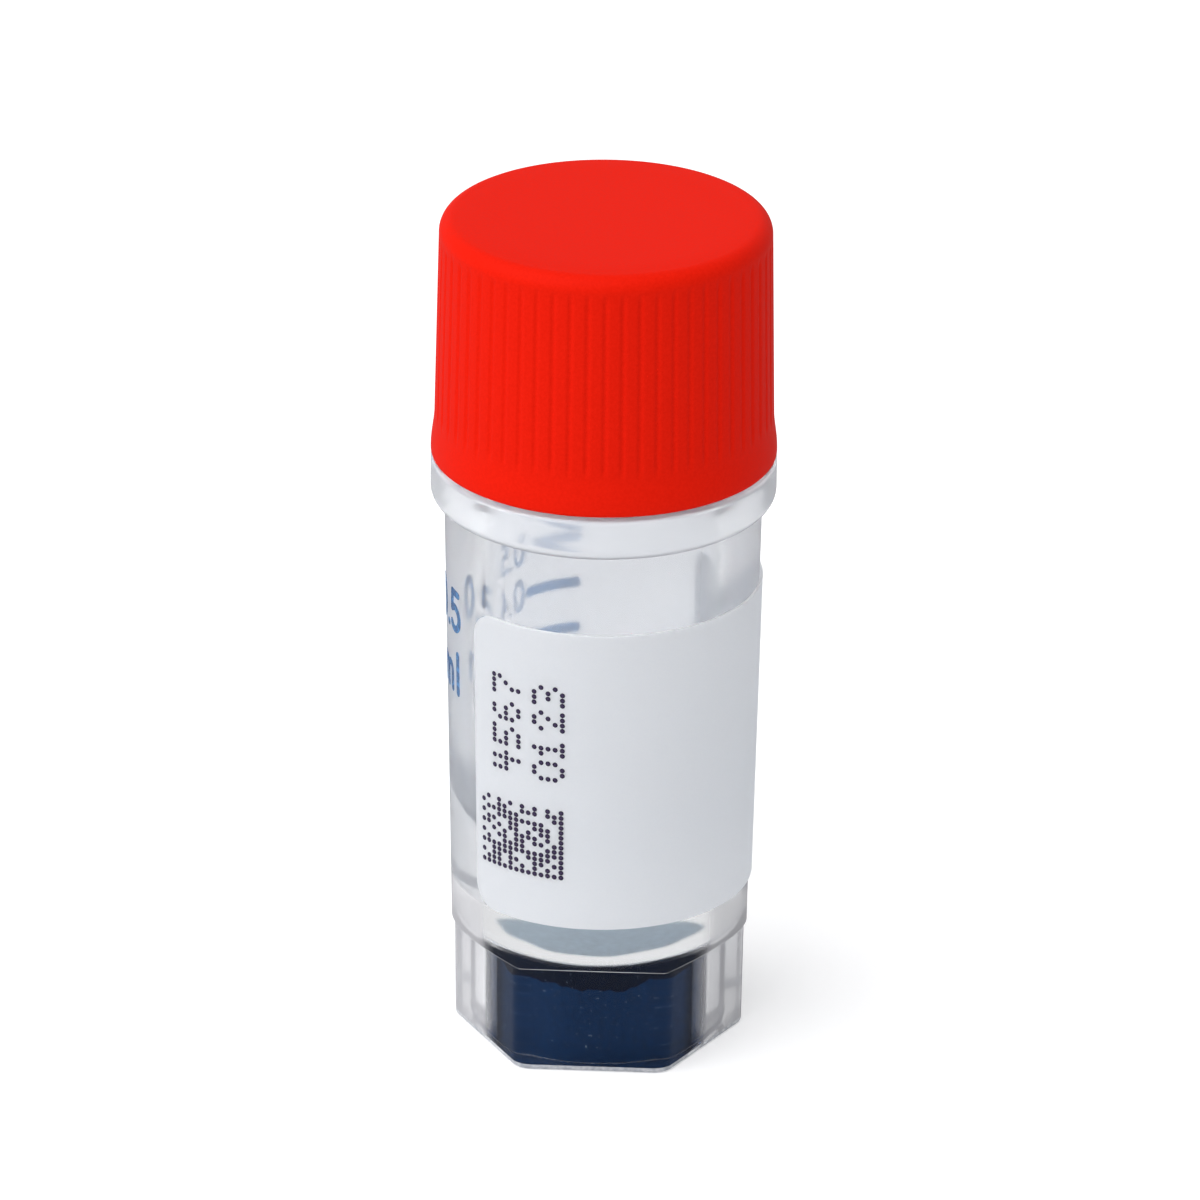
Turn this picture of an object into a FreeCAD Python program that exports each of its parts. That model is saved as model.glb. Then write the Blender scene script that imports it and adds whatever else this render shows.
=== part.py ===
"""Cryovial, 0.5 ml, self-standing, with an external-thread screw cap.

Units are millimetres. The origin is the centre of the foot's underside and +Z points up the
bore. The vial is one clear moulding; the code plug, the cap, its sealing ring and the writing
label are pieces of their own.
"""
import FreeCAD, Part
import math
import os

import Sketcher

Vector = FreeCAD.Vector
doc = FreeCAD.newDocument("cryovial")

# ---------------------------------------------------------------------------------------------
# Driving dimensions, in millimetres and degrees
# ---------------------------------------------------------------------------------------------
DIMENSIONS = [
    # the hexagonal foot that a rack's star-shaped seat holds against turning
    ("foot_across_flats", 9.35),
    ("foot_face_height", 4.1),
    ("foot_corner_rounding", 0.3),
    ("foot_edge_break", 0.12),
    ("foot_draft_angle", 0.6),
    ("foot_ledge_angle", 25.0),
    ("foot_overlap", 0.5),
    # the tapered barrel and the collar that the cap comes down to
    ("barrel_foot_diameter", 10.83),
    ("barrel_collar_diameter", 11.5),
    ("collar_diameter", 12.5),
    ("collar_underside", 21.0),
    ("collar_height", 1.6),
    ("collar_lower_rounding", 0.45),
    ("collar_upper_break", 0.12),
    # the neck, its mouth and the round-bottomed bore
    ("neck_diameter", 9.6),
    ("neck_height", 7.35),
    ("mouth_edge_break", 0.12),
    ("bore_diameter", 8.4),
    ("bore_floor_height", 6.85),
    # the socket under the foot and the plug in it
    ("socket_wall", 1.075),
    ("socket_depth", 4.15),
    ("plug_side_gap", 0.03),
    ("plug_top_gap", 0.03),
    ("plug_recess", 0.05),
    ("plug_edge_chamfer", 0.1),
    # the two-start screw thread
    ("thread_lead", 3.2),
    ("thread_starts", 2),
    ("thread_turns", 1.25),
    ("thread_depth", 0.32),
    ("thread_crest_width", 0.45),
    ("thread_root_width", 0.85),
    ("thread_start_height", 1.95),
    ("thread_radial_clearance", 0.13),
    # the cap
    ("cap_rim_wall", 1.0),
    ("cap_seat_gap", 0.15),
    ("cap_top_thickness", 1.15),
    ("cap_rim_height", 0.2),
    ("cap_rim_break", 0.12),
    ("cap_flare_height", 1.6),
    ("cap_grip_lower_inset", 0.13),
    ("cap_grip_upper_inset", 0.28),
    ("cap_top_rounding", 0.58),
    ("cap_mouth_chamfer", 0.2),
    ("groove_count", 60),
    ("groove_depth", 0.16),
    ("groove_outer_width", 0.32),
    ("groove_floor_width", 0.12),
    ("groove_run_out", 0.3),
    # the sealing ring between the cap and the mouth
    ("gasket_thickness", 0.7),
    ("gasket_side_gap", 0.12),
    ("gasket_hole_diameter", 7.2),
    # the label wrapped round the barrel
    ("label_thickness", 0.1),
    ("label_glue_gap", 0.02),
    ("label_lower_edge", 6.2),
    ("label_height", 11.75),
    ("label_centre_angle", -50.0),
    ("label_wrap_angle", 180.0),
    ("label_corner_radius", 1.0),
]

sheet = doc.addObject("Spreadsheet::Sheet", "dims")
for row, (alias, number) in enumerate(DIMENSIONS, start=1):
    sheet.set(f"A{row}", alias)
    sheet.set(f"B{row}", str(number))
    sheet.setAlias(f"B{row}", alias)
doc.recompute()

# Heights up the axis that several pieces share
COLLAR_TOP = "(dims.collar_underside + dims.collar_height)"
MOUTH = f"({COLLAR_TOP} + dims.neck_height)"
CAP_BOTTOM = f"({COLLAR_TOP} + dims.cap_seat_gap)"
CEILING = f"({MOUTH} + dims.gasket_thickness)"
CAP_TOP = f"({CEILING} + dims.cap_top_thickness)"

# Radii that several pieces share
NECK = "(dims.neck_diameter / 2)"
BORE = "(dims.bore_diameter / 2)"
BARREL_LOW = "(dims.barrel_foot_diameter / 2)"
BARREL_HIGH = "(dims.barrel_collar_diameter / 2)"
CAP_BORE = f"({NECK} + dims.thread_depth + dims.thread_radial_clearance)"
CAP_RIM = f"({CAP_BORE} + dims.cap_rim_wall)"
CAP_GRIP_LOW = f"({CAP_RIM} - dims.cap_grip_lower_inset)"
CAP_GRIP_HIGH = f"({CAP_RIM} - dims.cap_grip_upper_inset)"
SOCKET = "(dims.foot_across_flats / 2 - dims.socket_wall)"

# Each facet leans out a little on its way up and ends at foot_face_height, where a flat ledge
# of its own slopes up and outwards to the barrel. Inside the foot, barrel and facets overlap.
FLAT_HALF = "(dims.foot_across_flats / 2)"
FLAT_AT_LEDGE = f"({FLAT_HALF} + dims.foot_face_height * tan(dims.foot_draft_angle * 1deg))"
LEDGE_SLOPE = "tan(dims.foot_ledge_angle * 1deg)"
LEDGE_TOP = f"(dims.foot_face_height + ({BARREL_LOW} - {FLAT_AT_LEDGE}) * {LEDGE_SLOPE})"
BARREL_START = f"(dims.foot_face_height - dims.foot_overlap * {LEDGE_SLOPE})"


def number(expression):
    """The value of an expression over the sheet's aliases, in mm or degrees."""
    value = sheet.evalExpression(str(expression))
    return float(getattr(value, "Value", value))


# ---------------------------------------------------------------------------------------------
# Sketch and feature helpers
# ---------------------------------------------------------------------------------------------
def new_body(name):
    body = doc.addObject("PartDesign::Body", name)
    body.Label = name
    return body


def origin_feature(body, role):
    return next(item for item in body.Origin.OriginFeatures if item.Role == role)


def new_sketch(body, name, plane="XZ_Plane"):
    sketch = body.newObject("Sketcher::SketchObject", name)
    sketch.AttachmentSupport = [(origin_feature(body, plane), "")]
    sketch.MapMode = "FlatFace"
    return sketch


def pin_vertex(sketch, edge, vertex, point):
    """Hold one vertex at (x, y), each coordinate an expression over the sheet's aliases."""
    for kind, axis, expression in (("DistanceX", -2, point[0]), ("DistanceY", -1, point[1])):
        value = number(expression)
        if str(expression) == "0":
            sketch.addConstraint(Sketcher.Constraint("PointOnObject", edge, vertex, axis))
        else:
            index = sketch.addConstraint(
                Sketcher.Constraint(kind, -1, 1, edge, vertex, value))
            sketch.setExpression(f"Constraints[{index}]", str(expression))


def outline(sketch, points):
    """A closed outline of straight edges whose corners all sit on driven coordinates."""
    places = [Vector(number(x), number(y), 0) for x, y in points]
    edges = []
    for here, there in zip(places, places[1:] + places[:1]):
        edges.append(sketch.addGeometry(Part.LineSegment(here, there), False))
    for edge, following in zip(edges, edges[1:] + edges[:1]):
        sketch.addConstraint(Sketcher.Constraint("Coincident", edge, 2, following, 1))
    for edge, point in zip(edges, points):
        pin_vertex(sketch, edge, 1, point)
    return edges


def revolve(body, kind, name, sketch, angle=360.0):
    feature = body.newObject(f"PartDesign::{kind}", name)
    feature.Profile = sketch
    feature.ReferenceAxis = (sketch, ["V_Axis"])
    feature.Angle = angle
    doc.recompute()
    return feature


def round_edges(body, kind, name, chosen, size):
    """A Fillet or Chamfer on the edges of the body's tip that chosen(edge) picks."""
    tip = body.Tip
    names = [f"Edge{i}" for i, edge in enumerate(tip.Shape.Edges, start=1) if chosen(edge)]
    if not names:
        raise RuntimeError(f"{name}: no edge was found for it")
    feature = body.newObject(f"PartDesign::{kind}", name)
    feature.Base = (tip, names)
    feature.setExpression("Radius" if kind == "Fillet" else "Size", size)
    doc.recompute()
    return feature


def ring_at(radius, height):
    """Picks the circular edge of a given radius and height about the axis."""
    radius = number(radius)
    height = number(height)

    def chosen(edge):
        if edge.Degenerated:
            return False
        ends = (edge.FirstParameter, (edge.FirstParameter + edge.LastParameter) / 2)
        points = [edge.valueAt(parameter) for parameter in ends]
        return all(abs(math.hypot(p.x, p.y) - radius) < 1e-3 and abs(p.z - height) < 1e-3
                   for p in points)

    return chosen


def polar_copies(body, feature, sketch, axis, count):
    pattern = body.newObject("PartDesign::PolarPattern", f"{feature.Name}_round")
    pattern.Originals = [feature]
    pattern.Axis = (sketch, [axis])
    pattern.Angle = 360
    pattern.setExpression("Occurrences", count)
    body.Tip = pattern
    doc.recompute()
    return pattern


def screw_thread(body, name, root, crest, height):
    """A trapezoid ridge swept up a helix from root radius to crest radius, then its copies.

    The ridge starts on the +X side at the given height. Its root is sunk a little into the
    wall so that the two fuse.
    """
    sink = "0.08" if number(crest) > number(root) else "-0.08"
    base = f"({root} - {sink})"
    half_root = "dims.thread_root_width / 2"
    half_crest = "dims.thread_crest_width / 2"
    sketch = new_sketch(body, f"{name}_section")
    outline(sketch, [
        (base, f"{height} - {half_root}"),
        (root, f"{height} - {half_root}"),
        (crest, f"{height} - {half_crest}"),
        (crest, f"{height} + {half_crest}"),
        (root, f"{height} + {half_root}"),
        (base, f"{height} + {half_root}"),
    ])
    helix = body.newObject("PartDesign::AdditiveHelix", name)
    helix.Profile = sketch
    helix.ReferenceAxis = (sketch, ["V_Axis"])
    helix.Mode = "pitch-turns-angle"
    helix.setExpression("Pitch", "dims.thread_lead")
    helix.setExpression("Turns", "dims.thread_turns")
    helix.LeftHanded = False
    doc.recompute()
    return polar_copies(body, helix, sketch, "V_Axis", "dims.thread_starts")


# ---------------------------------------------------------------------------------------------
# vial_body: foot, barrel, collar, neck, bore and plug socket in one moulding
# ---------------------------------------------------------------------------------------------
def rounded_hexagon(sketch, half, rounding):
    """A hexagon with flats to the front and back, whose corners are arcs of one radius."""
    corner = f"({half} / cos(30deg))"
    ease = f"({rounding} * tan(30deg))"
    radius = number(rounding)
    reach = (number(half) - radius) / math.cos(math.pi / 6)

    def along(side, near, sign):
        turn = 60 * side + 120
        return tuple(f"({corner} * {f}({60 * near}deg) {sign} {ease} * {f}({turn}deg))"
                     for f in ("cos", "sin"))

    ends = [(along(k, k, "+"), along(k, k + 1, "-")) for k in range(6)]
    lines = []
    for first, last in ends:
        places = [Vector(number(x), number(y), 0) for x, y in (first, last)]
        lines.append(sketch.addGeometry(Part.LineSegment(*places), False))
    for line, (first, last) in zip(lines, ends):
        pin_vertex(sketch, line, 1, first)
        pin_vertex(sketch, line, 2, last)
    for k in range(6):
        turn = math.radians(60 * k)
        circle = Part.Circle(Vector(reach * math.cos(turn), reach * math.sin(turn), 0),
                             Vector(0, 0, 1), radius)
        arc = sketch.addGeometry(
            Part.ArcOfCircle(circle, turn - math.pi / 6, turn + math.pi / 6), False)
        sketch.addConstraint(Sketcher.Constraint("Coincident", arc, 1, lines[k - 1], 2))
        sketch.addConstraint(Sketcher.Constraint("Coincident", arc, 2, lines[k], 1))
        index = sketch.addConstraint(Sketcher.Constraint("Radius", arc, radius))
        sketch.setExpression(f"Constraints[{index}]", rounding)


def make_vial_body():
    body = new_body("vial_body")

    # barrel, collar and neck
    section = new_sketch(body, "barrel_section")
    outline(section, [
        ("0", BARREL_START),
        (BARREL_LOW, BARREL_START),
        (BARREL_HIGH, "dims.collar_underside"),
        ("dims.collar_diameter / 2", "dims.collar_underside"),
        ("dims.collar_diameter / 2", COLLAR_TOP),
        (NECK, COLLAR_TOP),
        (NECK, MOUTH),
        ("0", MOUTH),
    ])
    revolve(body, "Revolution", "barrel", section)

    # one flat ledge cut under the barrel's lower edge, then its copies over the other facets
    ledge = new_sketch(body, "ledge_section", "YZ_Plane")
    inner = f"({FLAT_AT_LEDGE} - dims.foot_overlap)"
    outer = f"({BARREL_HIGH} + dims.foot_overlap)"
    outline(ledge, [
        (inner, f"{BARREL_START} - dims.foot_overlap"),
        (outer, f"{BARREL_START} - dims.foot_overlap"),
        (outer, f"dims.foot_face_height + ({outer} - {FLAT_AT_LEDGE}) * {LEDGE_SLOPE}"),
        (inner, f"dims.foot_face_height + ({inner} - {FLAT_AT_LEDGE}) * {LEDGE_SLOPE}"),
    ])
    cut = body.newObject("PartDesign::Pocket", "facet_ledge")
    cut.Profile = ledge
    cut.Midplane = True
    cut.setExpression("Length", f"4 * {outer}")
    doc.recompute()
    polar_copies(body, cut, ledge, "V_Axis", "6")

    # hexagonal foot, drafted outwards on its way up into the barrel
    hexagon = new_sketch(body, "foot_hexagon", "XY_Plane")
    rounded_hexagon(hexagon, FLAT_HALF, "dims.foot_corner_rounding")
    foot = body.newObject("PartDesign::Pad", "foot")
    foot.Profile = hexagon
    foot.setExpression("Length", LEDGE_TOP)
    foot.setExpression("TaperAngle", "dims.foot_draft_angle")
    doc.recompute()
    round_edges(body, "Chamfer", "foot_lower_edge",
                lambda edge: edge.BoundBox.ZMax < 1e-6, "dims.foot_edge_break")

    # round-bottomed bore
    bore = new_sketch(body, "bore_section")
    radius = number(BORE)
    floor = number("dims.bore_floor_height")
    top = number(MOUTH)
    centre = Vector(0, floor + radius, 0)
    arc = bore.addGeometry(Part.ArcOfCircle(
        Part.Circle(centre, Vector(0, 0, 1), radius), -math.pi / 2, 0), False)
    wall = bore.addGeometry(Part.LineSegment(Vector(radius, floor + radius, 0),
                                             Vector(radius, top, 0)), False)
    lid = bore.addGeometry(Part.LineSegment(Vector(radius, top, 0), Vector(0, top, 0)), False)
    axis = bore.addGeometry(Part.LineSegment(Vector(0, top, 0), Vector(0, floor, 0)), False)
    for first, first_end, second, second_end in (
            (arc, 2, wall, 1), (wall, 2, lid, 1), (lid, 2, axis, 1), (axis, 2, arc, 1)):
        bore.addConstraint(Sketcher.Constraint("Coincident", first, first_end,
                                               second, second_end))
    bore.addConstraint(Sketcher.Constraint("Vertical", wall))
    bore.addConstraint(Sketcher.Constraint("Horizontal", lid))
    bore.addConstraint(Sketcher.Constraint("Horizontal", arc, 2, arc, 3))
    pin_vertex(bore, arc, 3, ("0", f"dims.bore_floor_height + {BORE}"))
    pin_vertex(bore, arc, 1, ("0", "dims.bore_floor_height"))
    pin_vertex(bore, lid, 2, ("0", MOUTH))
    revolve(body, "Groove", "bore", bore)

    # socket for the code plug, open at the underside
    socket = new_sketch(body, "socket_section")
    outline(socket, [
        ("0", "0"),
        (SOCKET, "0"),
        (SOCKET, "dims.socket_depth"),
        ("0", "dims.socket_depth"),
    ])
    revolve(body, "Groove", "plug_socket", socket)

    round_edges(body, "Fillet", "collar_lower_edge",
                ring_at("dims.collar_diameter / 2", "dims.collar_underside"),
                "dims.collar_lower_rounding")
    round_edges(body, "Chamfer", "collar_upper_edge",
                ring_at("dims.collar_diameter / 2", COLLAR_TOP), "dims.collar_upper_break")
    outer_lip = ring_at(NECK, MOUTH)
    inner_lip = ring_at(BORE, MOUTH)
    round_edges(body, "Chamfer", "mouth_lip",
                lambda edge: outer_lip(edge) or inner_lip(edge), "dims.mouth_edge_break")

    # two-start external thread
    crest = f"({NECK} + dims.thread_depth)"
    screw_thread(body, "neck_thread", NECK, crest,
                 f"({COLLAR_TOP} + dims.thread_start_height)")
    return body


# ---------------------------------------------------------------------------------------------
# code_plug: the dark insert in the underside of the foot
# ---------------------------------------------------------------------------------------------
def make_code_plug():
    body = new_body("code_plug")
    radius = f"({SOCKET} - dims.plug_side_gap)"
    top = "(dims.socket_depth - dims.plug_top_gap)"
    section = new_sketch(body, "plug_section")
    outline(section, [
        ("0", "dims.plug_recess"),
        (radius, "dims.plug_recess"),
        (radius, top),
        ("0", top),
    ])
    revolve(body, "Revolution", "plug", section)
    round_edges(body, "Chamfer", "plug_upper_edge", ring_at(radius, top),
                "dims.plug_edge_chamfer")
    return body


# ---------------------------------------------------------------------------------------------
# screw_cap: ribbed grip, flared rim, internal thread
# ---------------------------------------------------------------------------------------------
def make_screw_cap():
    body = new_body("screw_cap")
    rim_top = f"({CAP_BOTTOM} + dims.cap_rim_height)"
    grip_low = f"({CAP_BOTTOM} + dims.cap_flare_height)"
    section = new_sketch(body, "cap_section")
    outline(section, [
        (CAP_BORE, CAP_BOTTOM),
        (CAP_RIM, CAP_BOTTOM),
        (CAP_RIM, rim_top),
        (CAP_GRIP_LOW, grip_low),
        (CAP_GRIP_HIGH, CAP_TOP),
        ("0", CAP_TOP),
        ("0", CEILING),
        (CAP_BORE, CEILING),
    ])
    revolve(body, "Revolution", "cap_shell", section)
    round_edges(body, "Fillet", "cap_top_edge", ring_at(CAP_GRIP_HIGH, CAP_TOP),
                "dims.cap_top_rounding")
    round_edges(body, "Chamfer", "cap_rim_edge", ring_at(CAP_RIM, CAP_BOTTOM),
                "dims.cap_rim_break")
    round_edges(body, "Chamfer", "cap_mouth_edge", ring_at(CAP_BORE, CAP_BOTTOM),
                "dims.cap_mouth_chamfer")

    # one grip groove lofted up the taper, running out at both of its ends, then its copies
    lean = f"(({CAP_GRIP_LOW} - {CAP_GRIP_HIGH}) / ({CAP_TOP} - {grip_low}))"
    grip_top = f"({CAP_TOP} - dims.cap_top_rounding)"

    def grip_radius(height):
        return f"({CAP_GRIP_LOW} - ({height} - {grip_low}) * {lean})"

    foot = f"({grip_low} - dims.groove_run_out)"
    low = f"({grip_low} + dims.groove_run_out / 2)"
    high = f"({grip_top} - dims.groove_run_out)"
    levels = [
        ("groove_foot", foot, f"({grip_radius(foot)} + dims.groove_depth)"),
        ("groove_low", low, f"({grip_radius(low)} - dims.groove_depth)"),
        ("groove_high", high, f"({grip_radius(high)} - dims.groove_depth)"),
        ("groove_head", grip_top, grip_radius(grip_top)),
    ]
    half_outer = "(dims.groove_outer_width / 2)"
    half_floor = "(dims.groove_floor_width / 2)"
    sections = []
    for name, level, floor in levels:
        sketch = new_sketch(body, name, "XY_Plane")
        sketch.setExpression("AttachmentOffset.Base.z", level)
        reach = f"({floor} + dims.groove_depth)"
        outline(sketch, [
            (floor, f"-{half_floor}"),
            (reach, f"-{half_outer}"),
            (f"({reach} + dims.groove_depth)", f"-{half_outer}"),
            (f"({reach} + dims.groove_depth)", half_outer),
            (reach, half_outer),
            (floor, half_floor),
        ])
        sections.append(sketch)
    groove = body.newObject("PartDesign::SubtractiveLoft", "grip_groove")
    groove.Profile = sections[0]
    groove.Sections = sections[1:]
    groove.Ruled = True
    doc.recompute()
    polar_copies(body, groove, sections[0], "N_Axis", "dims.groove_count")

    # two-start internal thread, half a pitch away from the ridges on the neck
    root = CAP_BORE
    crest = f"({NECK} + dims.thread_radial_clearance)"
    half_pitch = "(dims.thread_lead / dims.thread_starts / 2)"
    screw_thread(body, "cap_thread", root, crest,
                 f"({COLLAR_TOP} + dims.thread_start_height - {half_pitch})")
    return body


# ---------------------------------------------------------------------------------------------
# cap_gasket: the soft ring between the cap's ceiling and the mouth
# ---------------------------------------------------------------------------------------------
def make_cap_gasket():
    body = new_body("cap_gasket")
    section = new_sketch(body, "gasket_section")
    outer = f"({CAP_BORE} - dims.gasket_side_gap)"
    hole = "(dims.gasket_hole_diameter / 2)"
    outline(section, [(hole, MOUTH), (outer, MOUTH), (outer, CEILING), (hole, CEILING)])
    revolve(body, "Revolution", "gasket_ring", section)
    return body


# ---------------------------------------------------------------------------------------------
# writing_label: a thin sleeve sector that follows the barrel's taper
# ---------------------------------------------------------------------------------------------
def make_writing_label():
    body = new_body("writing_label")
    slope = f"(({BARREL_HIGH} - {BARREL_LOW}) / (dims.collar_underside - {LEDGE_TOP}))"
    low = "dims.label_lower_edge"
    high = "(dims.label_lower_edge + dims.label_height)"

    def skin(height, offset):
        return f"({BARREL_LOW} + ({height} - {LEDGE_TOP}) * {slope} + {offset})"

    # a thick sector first, so that its corners round cleanly, then turned down to the skin
    inside = "dims.label_glue_gap"
    outside = "(dims.label_glue_gap + dims.label_thickness)"
    blank = "(dims.label_glue_gap + dims.label_corner_radius)"
    section = new_sketch(body, "label_section")
    section.AttachmentOffset = FreeCAD.Placement(
        Vector(0, 0, 0), FreeCAD.Rotation(Vector(0, 1, 0), number("dims.label_centre_angle")))
    section.setExpression("AttachmentOffset.Rotation.Angle", "dims.label_centre_angle")
    outline(section, [
        (skin(low, inside), low),
        (skin(low, blank), low),
        (skin(high, blank), high),
        (skin(high, inside), high),
    ])
    wrap = body.newObject("PartDesign::Revolution", "label_wrap")
    wrap.Profile = section
    wrap.ReferenceAxis = (section, ["V_Axis"])
    wrap.Midplane = True
    wrap.setExpression("Angle", "dims.label_wrap_angle")
    doc.recompute()
    thickness = number("dims.label_corner_radius")
    round_edges(body, "Fillet", "label_corners",
                lambda edge: abs(edge.Length - thickness) < 1e-3, "dims.label_corner_radius")

    margin = "dims.label_corner_radius"
    waste = new_sketch(body, "label_waste")
    outline(waste, [
        (skin(f"({low} - {margin})", outside), f"{low} - {margin}"),
        (skin(f"({low} - {margin})", f"(2 * {blank})"), f"{low} - {margin}"),
        (skin(f"({high} + {margin})", f"(2 * {blank})"), f"{high} + {margin}"),
        (skin(f"({high} + {margin})", outside), f"{high} + {margin}"),
    ])
    revolve(body, "Groove", "label_skin", waste)
    return body


# ---------------------------------------------------------------------------------------------
# Build, test and write
# ---------------------------------------------------------------------------------------------
pieces = [
    make_vial_body(),
    make_code_plug(),
    make_screw_cap(),
    make_cap_gasket(),
    make_writing_label(),
]
doc.recompute()

for item in doc.Objects:
    if "Invalid" in item.State or "Error" in item.State:
        raise RuntimeError(f"{item.Name} failed: {item.State}")

os.makedirs("parts", exist_ok=True)
for piece in pieces:
    shape = piece.Shape
    if shape.isNull() or not shape.isValid() or len(shape.Solids) != 1:
        raise RuntimeError(f"{piece.Label} isn't one valid solid")
    shape.exportStep(f"parts/{piece.Label}.step")
    box = shape.BoundBox
    print(f"{piece.Label}: {shape.Volume:.2f} mm3,"
          f" x {box.XMin:.2f}..{box.XMax:.2f}, z {box.ZMin:.2f}..{box.ZMax:.2f}")
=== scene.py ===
# %% [markdown]
# # Cryovial with a screw cap
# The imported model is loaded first. It is the fixed frame: every piece made here sits where the
# frame says and rides on one of its bodies (vial, gasket or cap). Blender works in metres, but a
# vial is easier to think about in millimetres, so every mesh is worked out in millimetres and
# scaled once, when it is made.

# %% Load the frame
import bpy
import math
import numpy as np
from mathutils import Matrix, Vector


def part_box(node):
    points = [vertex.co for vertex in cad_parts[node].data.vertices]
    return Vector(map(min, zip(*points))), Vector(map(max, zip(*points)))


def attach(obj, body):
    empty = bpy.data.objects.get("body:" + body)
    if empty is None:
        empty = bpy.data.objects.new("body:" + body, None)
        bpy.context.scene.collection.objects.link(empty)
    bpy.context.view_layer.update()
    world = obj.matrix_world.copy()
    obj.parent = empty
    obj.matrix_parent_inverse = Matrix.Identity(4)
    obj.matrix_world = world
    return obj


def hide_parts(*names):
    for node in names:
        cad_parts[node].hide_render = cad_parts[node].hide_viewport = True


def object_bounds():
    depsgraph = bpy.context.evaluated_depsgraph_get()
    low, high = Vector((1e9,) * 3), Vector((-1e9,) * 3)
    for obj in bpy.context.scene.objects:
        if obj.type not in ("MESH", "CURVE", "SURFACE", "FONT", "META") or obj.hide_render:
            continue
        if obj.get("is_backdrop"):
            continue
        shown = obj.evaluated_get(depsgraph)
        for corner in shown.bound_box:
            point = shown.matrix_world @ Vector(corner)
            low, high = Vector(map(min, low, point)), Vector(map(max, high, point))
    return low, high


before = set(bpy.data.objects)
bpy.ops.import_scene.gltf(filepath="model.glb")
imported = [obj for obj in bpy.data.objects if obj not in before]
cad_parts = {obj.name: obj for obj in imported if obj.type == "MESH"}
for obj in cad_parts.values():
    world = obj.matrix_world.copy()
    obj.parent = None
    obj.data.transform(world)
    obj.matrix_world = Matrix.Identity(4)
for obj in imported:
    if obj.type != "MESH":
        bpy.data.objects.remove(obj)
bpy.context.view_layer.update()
MM = 0.001

# %% [markdown]
# ## Sizes
# The heights and radii of the big pieces are read from the frame, so they follow the model. The
# smaller sizes, such as gaps, roundings and the thread, can't be read from a box, so they are
# written out here in millimetres.

# %% Heights and sizes in millimetres
def span(name):
    """Lowest height, highest height and half width of a node."""
    low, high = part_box(name)
    return low.z / MM, high.z / MM, max(-low.x, high.x) / MM


MOUTH_Z = span("vial_body")[1]
CAP_Z, TOP_Z, RIM_R = span("screw_cap")
LABEL_LOW_Z, LABEL_HIGH_Z, _ = span("writing_label")
SEAL_LOW_Z, SEAL_HIGH_Z, SEAL_R = span("cap_gasket")
PLUG_LOW_Z, PLUG_TOP_Z, PLUG_R = span("code_plug")
PLUG_GAP, CAP_GAP = 0.03, 0.15

FLATS, FACE_TOP, DRAFT, LEDGE_ANGLE = 9.35, 4.1, math.radians(0.6), math.radians(25)
CORNER_ROUND, EDGE_BREAK = 0.8, 0.12
SOCKET_R, SOCKET_TOP = PLUG_R + PLUG_GAP, PLUG_TOP_Z + PLUG_GAP
BARREL_LOW_Z, BARREL_LOW_R, BARREL_HIGH_R = 3.867, 5.415, 5.75
COLLAR_R, COLLAR_LOW_Z, COLLAR_HIGH_Z = 6.25, 21.0, CAP_Z - CAP_GAP
NECK_R, BORE_R, FLOOR_Z = 4.8, 4.2, 6.85
LEAD, THREAD_DEPTH, THREAD_START_Z = 3.2, 0.32, COLLAR_HIGH_Z + 1.95
CAP_BORE_R, SEAL_HOLE_R = 5.25, 3.6
GRIP_LOW_R, GRIP_HIGH_R, GRIP_LOW_Z = RIM_R - 0.13, RIM_R - 0.28, CAP_Z + 1.6


def barrel_radius(z):
    """The barrel is a straight cone: its radius grows evenly from the foot to the collar."""
    return BARREL_LOW_R + ((z - BARREL_LOW_Z) / (COLLAR_LOW_Z - BARREL_LOW_Z)
                           * (BARREL_HIGH_R - BARREL_LOW_R))


print("mouth at", round(MOUTH_Z, 2), "cap from", round(CAP_Z, 2), "to", round(TOP_Z, 2))

# %% [markdown]
# ## Turning grids into meshes
# Almost everything here is a turned shape, so each surface is worked out as a grid of points: one
# row for each step along the outline, one column for each step round the axis. Whole arrays are
# computed at once, and the faces are the quads between neighbouring rows and columns.

# %% Grids of points and faces
def grid_points(radius, height, angle):
    """Points at (r cos a, r sin a, z), with r and z given as rows by columns."""
    radius, height, angle = np.broadcast_arrays(radius, height, angle)
    return np.stack([radius * np.cos(angle), radius * np.sin(angle), height], axis=-1)


def grid_faces(rows, columns, first=0, round_rows=False, round_columns=True):
    """Quads between neighbouring rows and columns; round_... joins the last to the first."""
    i = np.arange(rows if round_rows else rows - 1)[:, None]
    k = np.arange(columns if round_columns else columns - 1)
    below, above = i * columns, (i + 1) % rows * columns
    after = (k + 1) % columns
    return (first + np.stack([below + k, below + after, above + after, above + k],
                             axis=-1)).reshape(-1, 4)


print("faces of a closed 3 by 4 grid:", len(grid_faces(3, 4)))

# %% [markdown]
# The points and faces go to Blender in one call each. Two things make a mesh look right: its faces
# must point outwards, which the sign of its volume tells, and it is shaded smooth except along
# edges that bend by more than a crease angle.

# %% Mesh objects
CREASE = 32


def signed_volume(mesh):
    """Sum of the tetrahedra from the origin to each triangle: positive if faces point out."""
    mesh.calc_loop_triangles()
    corner = np.zeros(len(mesh.vertices) * 3)
    mesh.vertices.foreach_get("co", corner)
    triangle = np.zeros(len(mesh.loop_triangles) * 3, int)
    mesh.loop_triangles.foreach_get("vertices", triangle)
    a, b, c = corner.reshape(-1, 3)[triangle.reshape(-1, 3)].transpose(1, 0, 2)
    return float(np.einsum("ij,ij->i", a, np.cross(b, c)).sum() / 6)


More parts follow.
